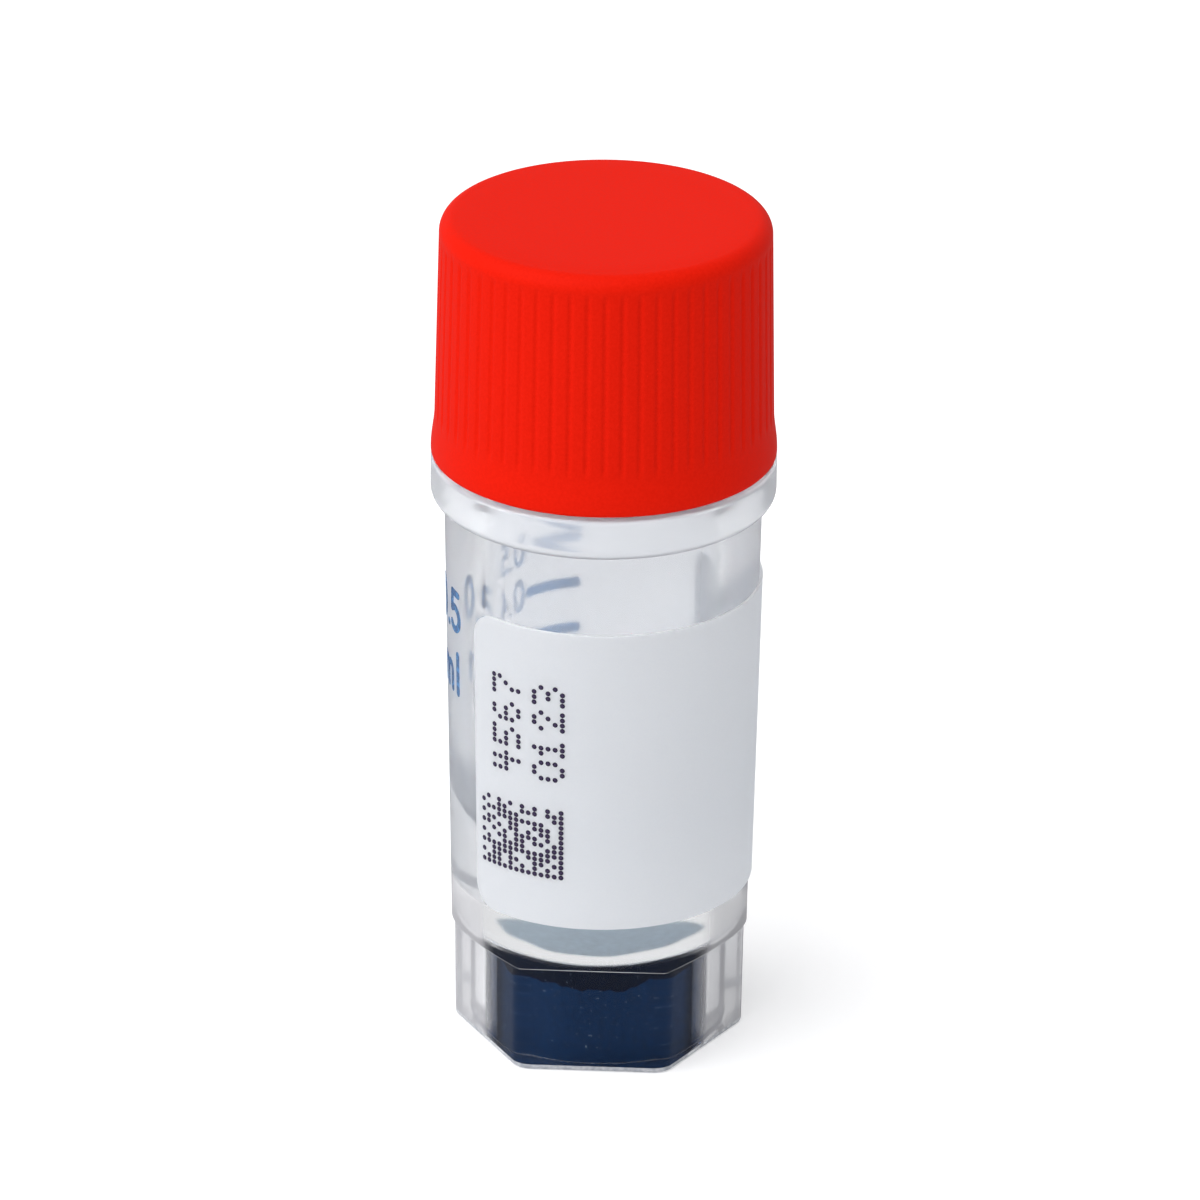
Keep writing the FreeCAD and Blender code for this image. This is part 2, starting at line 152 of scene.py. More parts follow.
def mesh_object(name, points, faces, crease=CREASE):
    """Link a mesh object made from points in millimetres, smooth but for its sharp edges."""
    mesh = bpy.data.meshes.new(name)
    mesh.from_pydata((np.asarray(points) * MM).tolist(), [], faces)
    mesh.update()
    if signed_volume(mesh) < 0:
        mesh.flip_normals()
    mesh.polygons.foreach_set("use_smooth", np.ones(len(mesh.polygons), bool))
    mesh.set_sharp_from_angle(angle=math.radians(crease))
    made = bpy.data.objects.new(name, mesh)
    bpy.context.scene.collection.objects.link(made)
    return made


print("edges stay sharp above", CREASE, "degrees")

# %% [markdown]
# A turned piece is a list of rows. Each row is a radius and a height, and either can be one number
# or one value for each column, which is how a hexagon or a thread gets into a turned shape. A
# solid that reaches the axis ends in a fan of triangles at each pole, and a ring joins its last
# row to its first.

# %% Turned solids and rings
def turned_grid(rows, angle):
    """A grid of points from rows of (r, z), spread over every column."""
    radius, height = (np.array([row[part] + 0 * angle for row in rows]) for part in (0, 1))
    return grid_points(radius, height, angle)


def turned_solid(name, rows, angle, crease=CREASE):
    """A closed solid whose first and last rows lie on the axis and become one point each."""
    ring = turned_grid(rows, angle)
    count, columns = ring.shape[:2]
    points = np.concatenate([ring[0, :1], ring[1:-1].reshape(-1, 3), ring[-1, :1]])
    k = np.arange(columns)
    after = (k + 1) % columns
    last = 1 + (count - 3) * columns
    low_fan = np.stack([np.zeros_like(k), 1 + after, 1 + k], axis=-1)
    high_fan = np.stack([np.full_like(k, len(points) - 1), last + k, last + after], axis=-1)
    faces = grid_faces(count - 2, columns, first=1).tolist() + low_fan.tolist() + high_fan.tolist()
    return mesh_object(name, points, faces, crease)


def turned_ring(name, rows, angle):
    """A closed ring whose outline comes back to where it began."""
    ring = turned_grid(rows, angle)
    faces = grid_faces(*ring.shape[:2], round_rows=True).tolist()
    return mesh_object(name, ring.reshape(-1, 3), faces)


print("a row begins at", turned_grid([(1.0, 2.0)], np.radians([0, 90, 180, 270]))[0, 0])

# %% [markdown]
# Outlines are joined from two kinds of stretch: a straight run and the arc of a rounding. A last
# helper finishes a piece: it gives it its material and its body, and hides the node that it stands
# for.

# %% Outlines, and finishing a piece
def between(first, last, share):
    """The place that lies a share of the way from first to last."""
    return first * (1 - share) + last * share


def run(first, last, steps):
    """Evenly spaced outline points from one to another, leaving out the first."""
    t = np.linspace(0, 1, steps + 1)[1:, None]
    return [tuple(p) for p in between(np.array(first), np.array(last), t)]


def arc(r, z, size, start, stop, steps):
    """Points of a rounding: centre (r, z), radius size, from one angle to another in degrees."""
    turn = np.radians(np.linspace(start, stop, steps))
    return [(r + size * math.cos(t), z + size * math.sin(t)) for t in turn]


def finish_piece(made, material, body, slot, *replaced):
    """Give a piece its material and its body, and hide the parts that it stands for. The slot is
    not used.
    """
    made.data.materials.append(material)
    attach(made, body)
    if replaced:
        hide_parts(*replaced)
    box = [round(v / MM, 2) for v in (*made.bound_box[0], *made.bound_box[6])]
    print(made.name, "faces", len(made.data.polygons), "box mm", box)


print("half way along a run:", run((0.0, 0.0), (1.0, 2.0), 2)[0])

# %% [markdown]
# ## Camera
# A long lens looks down at the vial from a little above and slightly to its right. The camera is
# rolled half a degree. Its three directions are worked out from azimuth and elevation and become
# the columns of its matrix.

# %% Camera
AZIMUTH, ELEVATION, ROLL = math.radians(2.849), math.radians(24.093), math.radians(0.567)
DISTANCE, LENS, SENSOR = 380.0, 313.75, 36
AIM_Z, AIM_LEVEL, AIM_UP = 16, -0.088, 0.725
back = Vector((math.sin(AZIMUTH) * math.cos(ELEVATION), -math.cos(AZIMUTH) * math.cos(ELEVATION),
               math.sin(ELEVATION)))
level = Vector((math.cos(AZIMUTH), math.sin(AZIMUTH), 0))
upward = back.cross(level)
aim = Vector((0, 0, AIM_Z)) + level * AIM_LEVEL + upward * AIM_UP
right = level * math.cos(ROLL) + upward * math.sin(ROLL)
top = upward * math.cos(ROLL) - level * math.sin(ROLL)
camera = bpy.data.objects.new("camera", bpy.data.cameras.new("camera"))
bpy.context.scene.collection.objects.link(camera)
camera.data.lens, camera.data.sensor_width = LENS, SENSOR
camera.data.clip_start, camera.data.clip_end = 0.01, 20
place = Matrix((right, top, back)).transposed().to_4x4()
place.translation = (aim + back * DISTANCE) * MM
camera.matrix_world = place
bpy.context.scene.camera = camera
print("lens", round(LENS, 1), "mm, camera at", [round(v, 4) for v in place.translation])

# %% [markdown]
# ## Floor, backdrop and light
# Materials, floor and sky are node trees. One helper adds a node, with its settings first, because
# they decide which sockets it has, and then the values and links of its inputs. Clear plastic
# shows what is behind it, so floor and sky have to know what kind of ray looks at them, and the
# Light Path node says that.

# %% Node helper and ray masks
def node(tree, kind, inputs=None, **settings):
    """Add a node. Each of its inputs named or numbered gets a value, or a link if it is given
    the output of another node."""
    made = tree.nodes.new(kind)
    for key, value in settings.items():
        setattr(made, key, value)
    for key, value in (inputs or {}).items():
        if isinstance(value, bpy.types.NodeSocket):
            tree.links.new(value, made.inputs[key])
        else:
            made.inputs[key].default_value = value
    return made


def seen_through(tree):
    """1 for camera rays and for rays that have passed through the vial, 0 for all the others."""
    ray = node(tree, "ShaderNodeLightPath").outputs
    return node(tree, "ShaderNodeMath", {0: ray["Is Camera Ray"], 1: ray["Is Transmission Ray"]},
                operation="MAXIMUM").outputs[0]


def only_mirrored(tree):
    """1 for mirrored rays that have passed through nothing, 0 for all the others."""
    ray = node(tree, "ShaderNodeLightPath").outputs
    return node(tree, "ShaderNodeMath", {0: ray["Is Glossy Ray"], 1: ray["Is Transmission Ray"]},
                operation="SUBTRACT", use_clamp=True).outputs[0]


print("ray masks:", seen_through.__name__, "and", only_mirrored.__name__)

# %% [markdown]
# The floor is plain and pale. It turns white for the camera and for rays that have passed through
# the vial, but only part of that brightness is added, so the floor still takes the vial's shadow.
# A mirror image of a white floor would lie like a grey veil on the dark plug behind its facet, so
# rays that are only reflected find a darker floor. It lies a hair under the vial, because two
# faces at one height would flicker.

# %% Floor
FLOOR_TONE, MIRRORED_TONE = (0.78, 0.78, 0.79, 1), (0.36, 0.36, 0.37, 1)
FLOOR_GLOW, FLOOR_REACH, FLOOR_DROP = 0.34, 6.0, 0.00002
floor_paint = bpy.data.materials.new("floor_paint")
floor_paint.use_nodes = True
tree = floor_paint.node_tree
tree.nodes.clear()
tone = node(tree, "ShaderNodeMix", {"Factor": only_mirrored(tree), "A": FLOOR_TONE,
                                    "B": MIRRORED_TONE}, data_type="RGBA")
matt = node(tree, "ShaderNodeBsdfDiffuse", {"Color": tone.outputs["Result"]})
lift = node(tree, "ShaderNodeMath", {0: seen_through(tree), 1: FLOOR_GLOW}, operation="MULTIPLY")
glow = node(tree, "ShaderNodeEmission", {"Strength": lift.outputs[0]})
both = node(tree, "ShaderNodeAddShader", {0: matt.outputs[0], 1: glow.outputs[0]})
node(tree, "ShaderNodeOutputMaterial", {"Surface": both.outputs[0]})

corners = [(x * FLOOR_REACH, y * FLOOR_REACH, 0) for x, y in ((-1, -1), (1, -1), (1, 1), (-1, 1))]
floor_mesh = bpy.data.meshes.new("floor")
floor_mesh.from_pydata(corners, [], [(0, 1, 2, 3)])
floor_mesh.materials.append(floor_paint)
floor = bpy.data.objects.new("floor", floor_mesh)
floor.location.z = -FLOOR_DROP
bpy.context.scene.collection.objects.link(floor)
floor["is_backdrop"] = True
print("floor", 2 * FLOOR_REACH, "m wide, glow", FLOOR_GLOW)

# %% [markdown]
# The sky gives most of the light, from all sides. It too is brighter for the camera and behind
# the plastic.

# %% Sky
SKY_STRENGTH, SKY_SEEN = 0.80, 1.0
sky = bpy.data.worlds.new("sky")
bpy.context.scene.world = sky
sky.use_nodes = True
tree = sky.node_tree
tree.nodes.clear()
strength = node(tree, "ShaderNodeMapRange", {"Value": seen_through(tree), "To Min": SKY_STRENGTH,
                                             "To Max": SKY_SEEN})
glow = node(tree, "ShaderNodeBackground", {"Strength": strength.outputs[0]})
node(tree, "ShaderNodeOutputWorld", {"Surface": glow.outputs[0]})
print("sky strength", SKY_STRENGTH, "for light,", SKY_SEEN, "where it is seen")

# %% [markdown]
# One soft box stands at the upper left. It is wider than it is far away, so its shadow has no
# hard edge. The view transform Standard shows each colour about as it is written.

# %% Soft box
LAMP_PLACE, LAMP_AIM = Vector((-0.36, -0.25, 0.52)), Vector((0, 0, 0.016))
LAMP_SIZE, LAMP_POWER = 0.9, 5.2
light = bpy.data.lights.new("soft_box_left", "AREA")
light.shape, light.size, light.energy = "SQUARE", LAMP_SIZE, LAMP_POWER
soft_box = bpy.data.objects.new("soft_box_left", light)
soft_box.location = LAMP_PLACE
soft_box.rotation_euler = (LAMP_PLACE - LAMP_AIM).to_track_quat("Z", "Y").to_euler()
bpy.context.scene.collection.objects.link(soft_box)
bpy.context.scene.view_settings.view_transform = "Standard"
print("soft box", LAMP_SIZE, "m wide,", LAMP_POWER, "W")

# %% [markdown]
# ## Finishes
# Each plastic is one Principled shader. What several of them share, the faint waviness and the
# fine specks that a moulded surface has, is a node group that puts out a height for the Bump node
# and a mask for roughness. It reads Object coordinates, so the pattern stays with the piece. The
# scale of a Noise texture counts blobs a metre here: 900 is about one a millimetre.

# %% Shared moulded-surface group
WAVE, GRAIN, WAVE_SHARE = 900, 14000, 0.7
moulded = bpy.data.node_groups.new("moulded_surface", "ShaderNodeTree")
for name, direction, value in (("Wave Size", "INPUT", WAVE), ("Grain Size", "INPUT", GRAIN),
                               ("Wave Share", "INPUT", WAVE_SHARE), ("Height", "OUTPUT", 0),
                               ("Mask", "OUTPUT", 0)):
    made = moulded.interface.new_socket(name, in_out=direction, socket_type="NodeSocketFloat")
    made.default_value = value
given = node(moulded, "NodeGroupInput").outputs
place_on = node(moulded, "ShaderNodeTexCoord").outputs["Object"]
waves = node(moulded, "ShaderNodeTexNoise", {"Vector": place_on, "Scale": given["Wave Size"],
                                             "Detail": 1.5}).outputs["Fac"]
grains = node(moulded, "ShaderNodeTexNoise", {"Vector": place_on, "Scale": given["Grain Size"],
                                              "Detail": 3.0}).outputs["Fac"]
blend = node(moulded, "ShaderNodeMix", {"Factor": given["Wave Share"], "A": grains, "B": waves},
             data_type="FLOAT")
node(moulded, "NodeGroupOutput", {"Height": blend.outputs["Result"], "Mask": grains})
print("group outputs:", [s.name for s in moulded.interface.items_tree if s.in_out == "OUTPUT"])

# %% [markdown]
# A helper makes one plastic: it places the group, spreads the roughness a little to both sides of
# its value, and lets the height tilt the normal. Numbers that are the same all over the surface
# go straight on to the shader's own sockets. Another makes a colour ramp, which turns a mask into
# colours.

# %% Plastic maker
def ramp(tree, source, *stops):
    """The colour output of a ramp read at source. A stop is a place from 0 to 1 and a colour."""
    made = node(tree, "ShaderNodeValToRGB", {"Fac": source})
    elements = made.color_ramp.elements
    for element, (at, colour) in zip((elements[0], elements[1]), (stops[0], stops[-1])):
        element.position, element.color = at, (*colour, 1)
    for at, colour in stops[1:-1]:
        elements.new(at).color = (*colour, 1)
    return made.outputs["Color"]


def plastic(name, colour, roughness, bump=0.1, distance=0.00001, wave=WAVE, grain=GRAIN,
            share=WAVE_SHARE, spread=0.05, tints=None, **sockets):
    """A Principled shader whose normal and roughness come from the moulded-surface group. Tints,
    if given, are two colours between which the group's mask wanders."""
    made = bpy.data.materials.new(name)
    made.use_nodes = True
    tree = made.node_tree
    shader = tree.nodes["Principled BSDF"].inputs
    shader["Base Color"].default_value = (*colour, 1)
    for key, value in sockets.items():
        shader[key.replace("_", " ")].default_value = value
    surface = node(tree, "ShaderNodeGroup", {"Wave Size": wave, "Grain Size": grain,
                                             "Wave Share": share}, node_tree=moulded)
    mask = surface.outputs["Mask"]
    rough = node(tree, "ShaderNodeMapRange", {"Value": mask, "From Min": 0.3, "From Max": 0.7,
                                              "To Min": roughness - spread,
                                              "To Max": roughness + spread})
    tree.links.new(rough.outputs[0], shader["Roughness"])
    if tints:
        wander = ramp(tree, mask, (0.35, tints[0]), (0.65, tints[1]))
        tree.links.new(wander, shader["Base Color"])
    relief = node(tree, "ShaderNodeBump", {"Strength": bump, "Distance": distance,
                                           "Height": surface.outputs["Height"]})
    tree.links.new(relief.outputs["Normal"], shader["Normal"])
    return made


print("plastics take their surface from", moulded.name)

# %% [markdown]
# Real mouldings are seldom pure glass. Natural polypropylene is a little milky, and that is a
# second shader mixed into the first: Translucent where light comes through a wall, Diffuse where
# the outside throws it back. `glassy` is the clear plastic and `soften` makes the mix. A real
# volume of fog would do the same, but takes far longer to render and more samples to come out
# clean.

# %% Milky clear plastic
PASSES, THROWS_BACK = "ShaderNodeBsdfTranslucent", "ShaderNodeBsdfDiffuse"
LETS_SEE, MILK = "ShaderNodeBsdfTransparent", (0.86, 0.885, 0.92)


def glassy(name, roughness):
    """Clear polypropylene before any haze: glass with a low gloss."""
    return plastic(name, (0.97, 0.98, 0.992), roughness, bump=0.15, spread=0.03, IOR=1.49,
                   Transmission_Weight=1.0, Specular_Tint=(0.2, 0.2, 0.2, 1))


def soften(made, kind, colour, share):
    """Mix a share of a second shader into a plastic. The share is a number or a mask."""
    tree = made.node_tree
    second = node(tree, kind, {"Color": (*colour, 1)})
    mix = node(tree, "ShaderNodeMixShader", {"Fac": share, 2: second.outputs[0],
                                             1: tree.nodes["Principled BSDF"].outputs[0]})
    tree.links.new(mix.outputs[0], tree.nodes["Material Output"].inputs["Surface"])
    return made


bore_plastic = soften(glassy("bore_plastic", 0.08), PASSES, MILK, share=0.28)
hollow_plastic = soften(glassy("bore_floor_plastic", 0.12), PASSES, MILK, share=0.62)
collar_plastic = soften(glassy("collar_plastic", 0.14), THROWS_BACK, (0.66, 0.68, 0.72),
                        share=0.42)
print("milky:", [m.name for m in (bore_plastic, hollow_plastic, collar_plastic)])

# %% [markdown]
# Haze adds up where light runs a long way in the plastic, as it does near the left and right
# edges of the barrel. The Layer Weight node's Facing output is 0 where a face is seen square on
# and 1 at a full slant, so it can raise the barrel's share towards the edges.

# %% Haze on the barrel
def smooth_step(tree, source, low, high, top=1.0, bottom=0.0):
    """Bottom where source is under low and top where it is over high, with a soft passage
    between."""
    return node(tree, "ShaderNodeMapRange", {"Value": source, "From Min": low, "From Max": high,
                                             "To Min": bottom, "To Max": top},
                interpolation_type="SMOOTHSTEP").outputs[0]


wall_plastic = glassy("wall_plastic", roughness=0.07)
tree = wall_plastic.node_tree
slant = node(tree, "ShaderNodeLayerWeight").outputs["Facing"]
share = smooth_step(tree, slant, low=0.2, high=0.6, top=0.6, bottom=0.2)
soften(wall_plastic, PASSES, (0.95, 0.965, 0.99), share)
print("barrel haze:", len(tree.nodes), "nodes")

# %% [markdown]
# The foot needs the haze only in part. Seen square on, a facet is clear and shows the plug. Seen
# at a slant, it is as milky as the barrel's edges. The haze also keeps to the two ends of the
# foot, left and right, where the plastic beside the round socket is thickest. Both masks are
# smooth steps, multiplied, and the product drives the share of the mix.

# %% Haze on the foot
HAZE_FROM_X, HAZE_FULL_X, FOOT_HAZE = 3.6, 4.3, 0.68
foot_plastic = glassy("foot_plastic", roughness=0.15)
tree = foot_plastic.node_tree
slant = node(tree, "ShaderNodeLayerWeight").outputs["Facing"]
place_on = node(tree, "ShaderNodeTexCoord").outputs["Object"]
x = node(tree, "ShaderNodeSeparateXYZ", {0: place_on}).outputs["X"]
sideways = node(tree, "ShaderNodeMath", {0: x}, operation="ABSOLUTE").outputs[0]
at_the_ends = smooth_step(tree, sideways, HAZE_FROM_X * MM, HAZE_FULL_X * MM, FOOT_HAZE)
slanted = smooth_step(tree, slant, low=0.3, high=0.5)
haze = node(tree, "ShaderNodeMath", {0: slanted, 1: at_the_ends}, operation="MULTIPLY")
soften(foot_plastic, THROWS_BACK, (0.54, 0.54, 0.565), haze.outputs[0])
print("foot haze:", len(tree.nodes), "nodes")

# %% [markdown]
# The opaque plastics differ in colour and in how little they mirror. Both red and navy are matt
# enough that a strong mirror image would turn them pale, so their Specular IOR Level is low. The
# pale edge is the foot's bottom rim. Its grey is partly wear from standing on benches and partly a
# painted highlight along the rounded rim.

# %% Worn edge with painted highlight, plug, cap and seal
# Painted highlight: this pale grey stands partly for wear and partly for light caught on the
# rounded rim.
edge_wear_and_highlight = plastic("worn_edge_and_highlight", (0.72, 0.74, 0.77), roughness=0.6, grain=6000,
                       tints=((0.55, 0.57, 0.62), (0.86, 0.87, 0.89)))
soften(edge_wear_and_highlight, LETS_SEE, (0.9, 0.92, 0.95), share=0.35)
navy_plastic = plastic("plug_plastic", (0.003, 0.03, 0.1), roughness=0.45, grain=5000,
                       Specular_IOR_Level=0.1)
red_plastic = plastic("cap_plastic", (0.71, 0.0095, 0.0018), roughness=0.5, bump=0.2, wave=500,
                      grain=9000, share=0.5,
                      tints=((0.69, 0.009, 0.0014), (0.73, 0.0105, 0.0022)),
                      Specular_IOR_Level=0.03)
seal_rubber = plastic("seal_silicone", (0.80, 0.80, 0.78), roughness=0.5, grain=6000,
                      tints=((0.77, 0.77, 0.75), (0.83, 0.83, 0.81)), Specular_IOR_Level=0.3)
print("plastics:", [m.name for m in (edge_wear_and_highlight, navy_plastic, red_plastic, seal_rubber)])

# %% [markdown]
# The label is a thin white film. From behind it is lit through, so its Principled shader is mixed
# with a Translucent one, which passes soft light on to the far side.

# %% Label film
label_film = plastic("label_sheet_film", (0.92, 0.94, 0.97), roughness=0.6, bump=0.35,
                     distance=0.00002, wave=5200, grain=16000, share=0.6,
                     tints=((0.915, 0.93, 0.965), (0.965, 0.975, 0.99)), Specular_IOR_Level=0.3)
soften(label_film, PASSES, (0.96, 0.97, 0.98), share=0.66)
print("film:", label_film.name, "with", len(label_film.node_tree.nodes), "nodes")

# %% [markdown]
# The scale's ink is thin and worn. Where it is thick it covers, and where it is thin the light
# behind comes through it blue, so a Transparent shader with a blue colour is mixed in. The
# group's mask drives the share, which makes the print patchy. It matters here that light passes,
# because most of the scale is seen from inside, through the vial.

# %% Scale ink
scale_ink = plastic("scale_ink", (0.15, 0.24, 0.38), roughness=0.5, grain=5000, spread=0.1,
                    tints=((0.10, 0.19, 0.35), (0.20, 0.29, 0.42)), Specular_IOR_Level=0.3)
tree = scale_ink.node_tree
worn = node(tree, "ShaderNodeMapRange", {"Value": tree.nodes["Group"].outputs["Mask"],
                                         "From Min": 0.35, "From Max": 0.65,
                                         "To Min": 0.4, "To Max": 0.76})
soften(scale_ink, LETS_SEE, (0.36, 0.66, 0.95), worn.outputs[0])
print("ink:", scale_ink.name, "with", len(tree.nodes), "nodes")

# %% [markdown]
# ## Vial body
# The real vial is one clear moulding: hexagonal foot, barrel, collar, threaded neck and a
# round-bottomed bore. It could be kept as the model has it, but clear plastic shows every flaw of
# a coarse mesh, because each facet bends the light its own way. So the whole moulding is turned
# again here as one fine closed surface. The foot's rows take their radius from a rounded hexagon,
# whose faces lean in a little and end in flat ledges.

# %% Hexagon formulas
FLAT_HALF = 26


def sector_angles():
    """Columns round the axis: close together at the six rounded corners, even between them."""
    flat = np.linspace(-FLAT_HALF, FLAT_HALF, 35)
    corner = np.linspace(FLAT_HALF, 60 - FLAT_HALF, 14)[1:-1]
    sector = np.concatenate([flat, corner])
    return np.radians(np.concatenate([30 + 60 * k + sector for k in range(6)]))


def hexagon_radius(angle, flat):
    """Distance from the axis to a hexagon with rounded corners: flat / cos(a) along a face, and
    the far side of the corner's circle near a corner, with a measured from the face's middle."""
    off = np.radians(np.abs(np.mod(np.degrees(angle), 60) - 30))
    sixth = math.pi / 6
    ends = np.arctan((flat - CORNER_ROUND) * math.tan(sixth) / flat)
    centre = (flat - CORNER_ROUND) / math.cos(sixth)
    turn = sixth - off
    inside = np.maximum(CORNER_ROUND ** 2 - (centre * np.sin(turn)) ** 2, 0)
    return np.where(off <= ends, flat / np.cos(off), centre * np.cos(turn) + np.sqrt(inside))


def ledge_height(angle, radius):
    """Each face ends in a flat ledge of its own that slopes up and outwards from the face."""
    off = np.radians(np.mod(np.degrees(angle), 60) - 30)
    flat = FLATS / 2 + FACE_TOP * math.tan(DRAFT)
    return FACE_TOP + (radius * np.cos(off) - flat) * math.tan(LEDGE_ANGLE)


print("corner radius of the hexagon:", round(float(hexagon_radius(0.0, FLATS / 2)), 3), "mm")

# %% [markdown]
# The outline starts in the plug's socket: its ceiling, its wall and the small rounding at its
# mouth. Then it runs across the underside, round the broken edge, up the faces and out along the
# ledges. Shares from 0 to 1 place the rows between two lines, closer together near an edge.

# %% Foot, ledges and socket
SOCKET_ROUND, SOCKET_LIP, LEDGE_EDGE, RIM_Z = 0.1, 0.02, 0.07, 4.45
ANGLE = sector_angles()
hexagon = hexagon_radius(ANGLE, FLATS / 2)
hexagon_top = hexagon_radius(ANGLE, FLATS / 2 + FACE_TOP * math.tan(DRAFT))
face_end = ledge_height(ANGLE, hexagon_top)
vial_rows = [(0, SOCKET_TOP), (SOCKET_R * 0.3, SOCKET_TOP), (SOCKET_R * 0.7, SOCKET_TOP)]
vial_rows += arc(SOCKET_R - SOCKET_ROUND, SOCKET_TOP - SOCKET_ROUND, SOCKET_ROUND, 90, 0, 5)
vial_rows += run((SOCKET_R, SOCKET_TOP - SOCKET_ROUND), (SOCKET_R, SOCKET_LIP), 12)
vial_rows += arc(SOCKET_R + SOCKET_LIP, SOCKET_LIP, SOCKET_LIP, 180, 270, 3)[1:]
vial_rows += [(between(SOCKET_R + SOCKET_LIP, hexagon - EDGE_BREAK, share), 0)
              for share in (0.35, 0.7)]
vial_rows += [(hexagon - EDGE_BREAK * (1 - math.cos(turn)), EDGE_BREAK * (1 + math.sin(turn)))
              for turn in np.radians((-90, -65, -45, -25, 0))]
vial_rows += [(between(hexagon, hexagon_top, share), between(EDGE_BREAK, face_end, share))
              for share in (0.022, 0.2, 0.5, 0.8, 0.97, 1.0)]
ledge_r = barrel_radius(RIM_Z) - LEDGE_EDGE
for share in (0.05, 0.4, 0.8, 1.0):
    r = between(hexagon_top, ledge_r, share)
    vial_rows.append((r, ledge_height(ANGLE, r)))
rim_z = ledge_height(ANGLE, ledge_r) + LEDGE_EDGE
vial_rows += [(barrel_radius(RIM_Z) - LEDGE_EDGE * (1 - math.cos(turn)),
               rim_z + LEDGE_EDGE * math.sin(turn)) for turn in np.radians((-60, -40, -20, 0))]
print("rows so far:", len(vial_rows))

# %% [markdown]
# The barrel is a plain cone. The collar is the ring that the cap's rim stands on, with a large
# rounding below, a small one above and a fillet where it meets the neck.

# %% Barrel and collar
COLLAR_ROUND, EDGE_ROUND, NECK_FILLET = 0.45, 0.12, 0.1
barrel_z = [between(rim_z, LABEL_LOW_Z, share) for share in (0.25, 0.6, 1.0)]
barrel_z += list(np.linspace(LABEL_LOW_Z, COLLAR_LOW_Z, 14)[1:])
vial_rows += [(barrel_radius(z), z) for z in barrel_z]
vial_rows += arc(COLLAR_R - COLLAR_ROUND, COLLAR_LOW_Z + COLLAR_ROUND, COLLAR_ROUND, -90, 0, 9)
vial_rows += run((COLLAR_R, COLLAR_LOW_Z + COLLAR_ROUND),
                 (COLLAR_R, COLLAR_HIGH_Z - EDGE_ROUND), 4)
vial_rows += arc(COLLAR_R - EDGE_ROUND, COLLAR_HIGH_Z - EDGE_ROUND, EDGE_ROUND, 0, 90, 5)[1:]
vial_rows += run((COLLAR_R - EDGE_ROUND, COLLAR_HIGH_Z), (NECK_R + NECK_FILLET, COLLAR_HIGH_Z), 3)
vial_rows += arc(NECK_R + NECK_FILLET, COLLAR_HIGH_Z + NECK_FILLET, NECK_FILLET,
                 270, 180, 4)[1:]
print("rows so far:", len(vial_rows))

# %% [markdown]
# The neck carries a thread of two starts, which brings the cap home in one short turn. A thread
# could be a ridge swept along a helix and joined on, but joined meshes leave a seam that clear
# plastic shows. Here each row of the neck asks how far the ridges stand out at its height, so the
# thread is part of the same surface.

# %% Thread formula
THREAD_TURNS, RUN_OUT, ROOT_HALF, FLANK = 1.25, 0.12, 0.425, 0.2


def thread_share(angle, height, start_z):
    """How far two ridges, half a turn apart, stand out, from 0 to 1. Each climbs by the lead in
    each turn, is 0.45 wide at its crest and 0.85 at its root, and fades in and out at its ends."""
    best = np.zeros(np.broadcast(angle, height).shape)
    for start in (0.0, math.pi):
        for extra in (0, 1):
            travelled = np.mod(angle - start, math.tau) + math.tau * extra
            ends = (np.clip(travelled / RUN_OUT, 0, 1)
                    * np.clip((THREAD_TURNS * math.tau - travelled) / RUN_OUT, 0, 1))
            away = np.abs(height - start_z - LEAD * travelled / math.tau)
            best = np.maximum(best, np.clip((ROOT_HALF - away) / FLANK, 0, 1) * ends)
    return best


print("thread from", round(THREAD_START_Z, 2), "mm, lead", LEAD, "mm")

# %% [markdown]
# The outline ends over the rounded mouth, down the bore and into its round floor. The rows then
# become one closed solid.

# %% Neck, mouth and bore
NECK_STEP = 0.07
BORE_LOW_Z = FLOOR_Z + BORE_R
neck_z = np.arange(COLLAR_HIGH_Z + 0.15, MOUTH_Z - 0.13, NECK_STEP)
vial_rows += [(NECK_R + THREAD_DEPTH * thread_share(ANGLE, z, THREAD_START_Z), z) for z in neck_z]
vial_rows += arc(NECK_R - EDGE_ROUND, MOUTH_Z - EDGE_ROUND, EDGE_ROUND, 0, 90, 5)
vial_rows += arc(BORE_R + EDGE_ROUND, MOUTH_Z - EDGE_ROUND, EDGE_ROUND, 90, 180, 5)
vial_rows += run((BORE_R, MOUTH_Z - EDGE_ROUND), (BORE_R, BORE_LOW_Z), 16)
vial_rows += arc(0, BORE_LOW_Z, BORE_R, 0, -90, 30)[1:-1] + [(0, FLOOR_Z)]
vial = turned_solid("vial_moulding", vial_rows, ANGLE)
finish_piece(vial, foot_plastic, "vial", "clear_plastic", "vial_body")

# %% [markdown]
# One piece can carry several materials: each face holds the number of its slot. Height and
# distance from the axis say where on the moulding a face lies, and so which kind of clear plastic
# it gets. The pale edge, worn and with a painted highlight, is the outer rim of the underside, a
# little way up the faces.

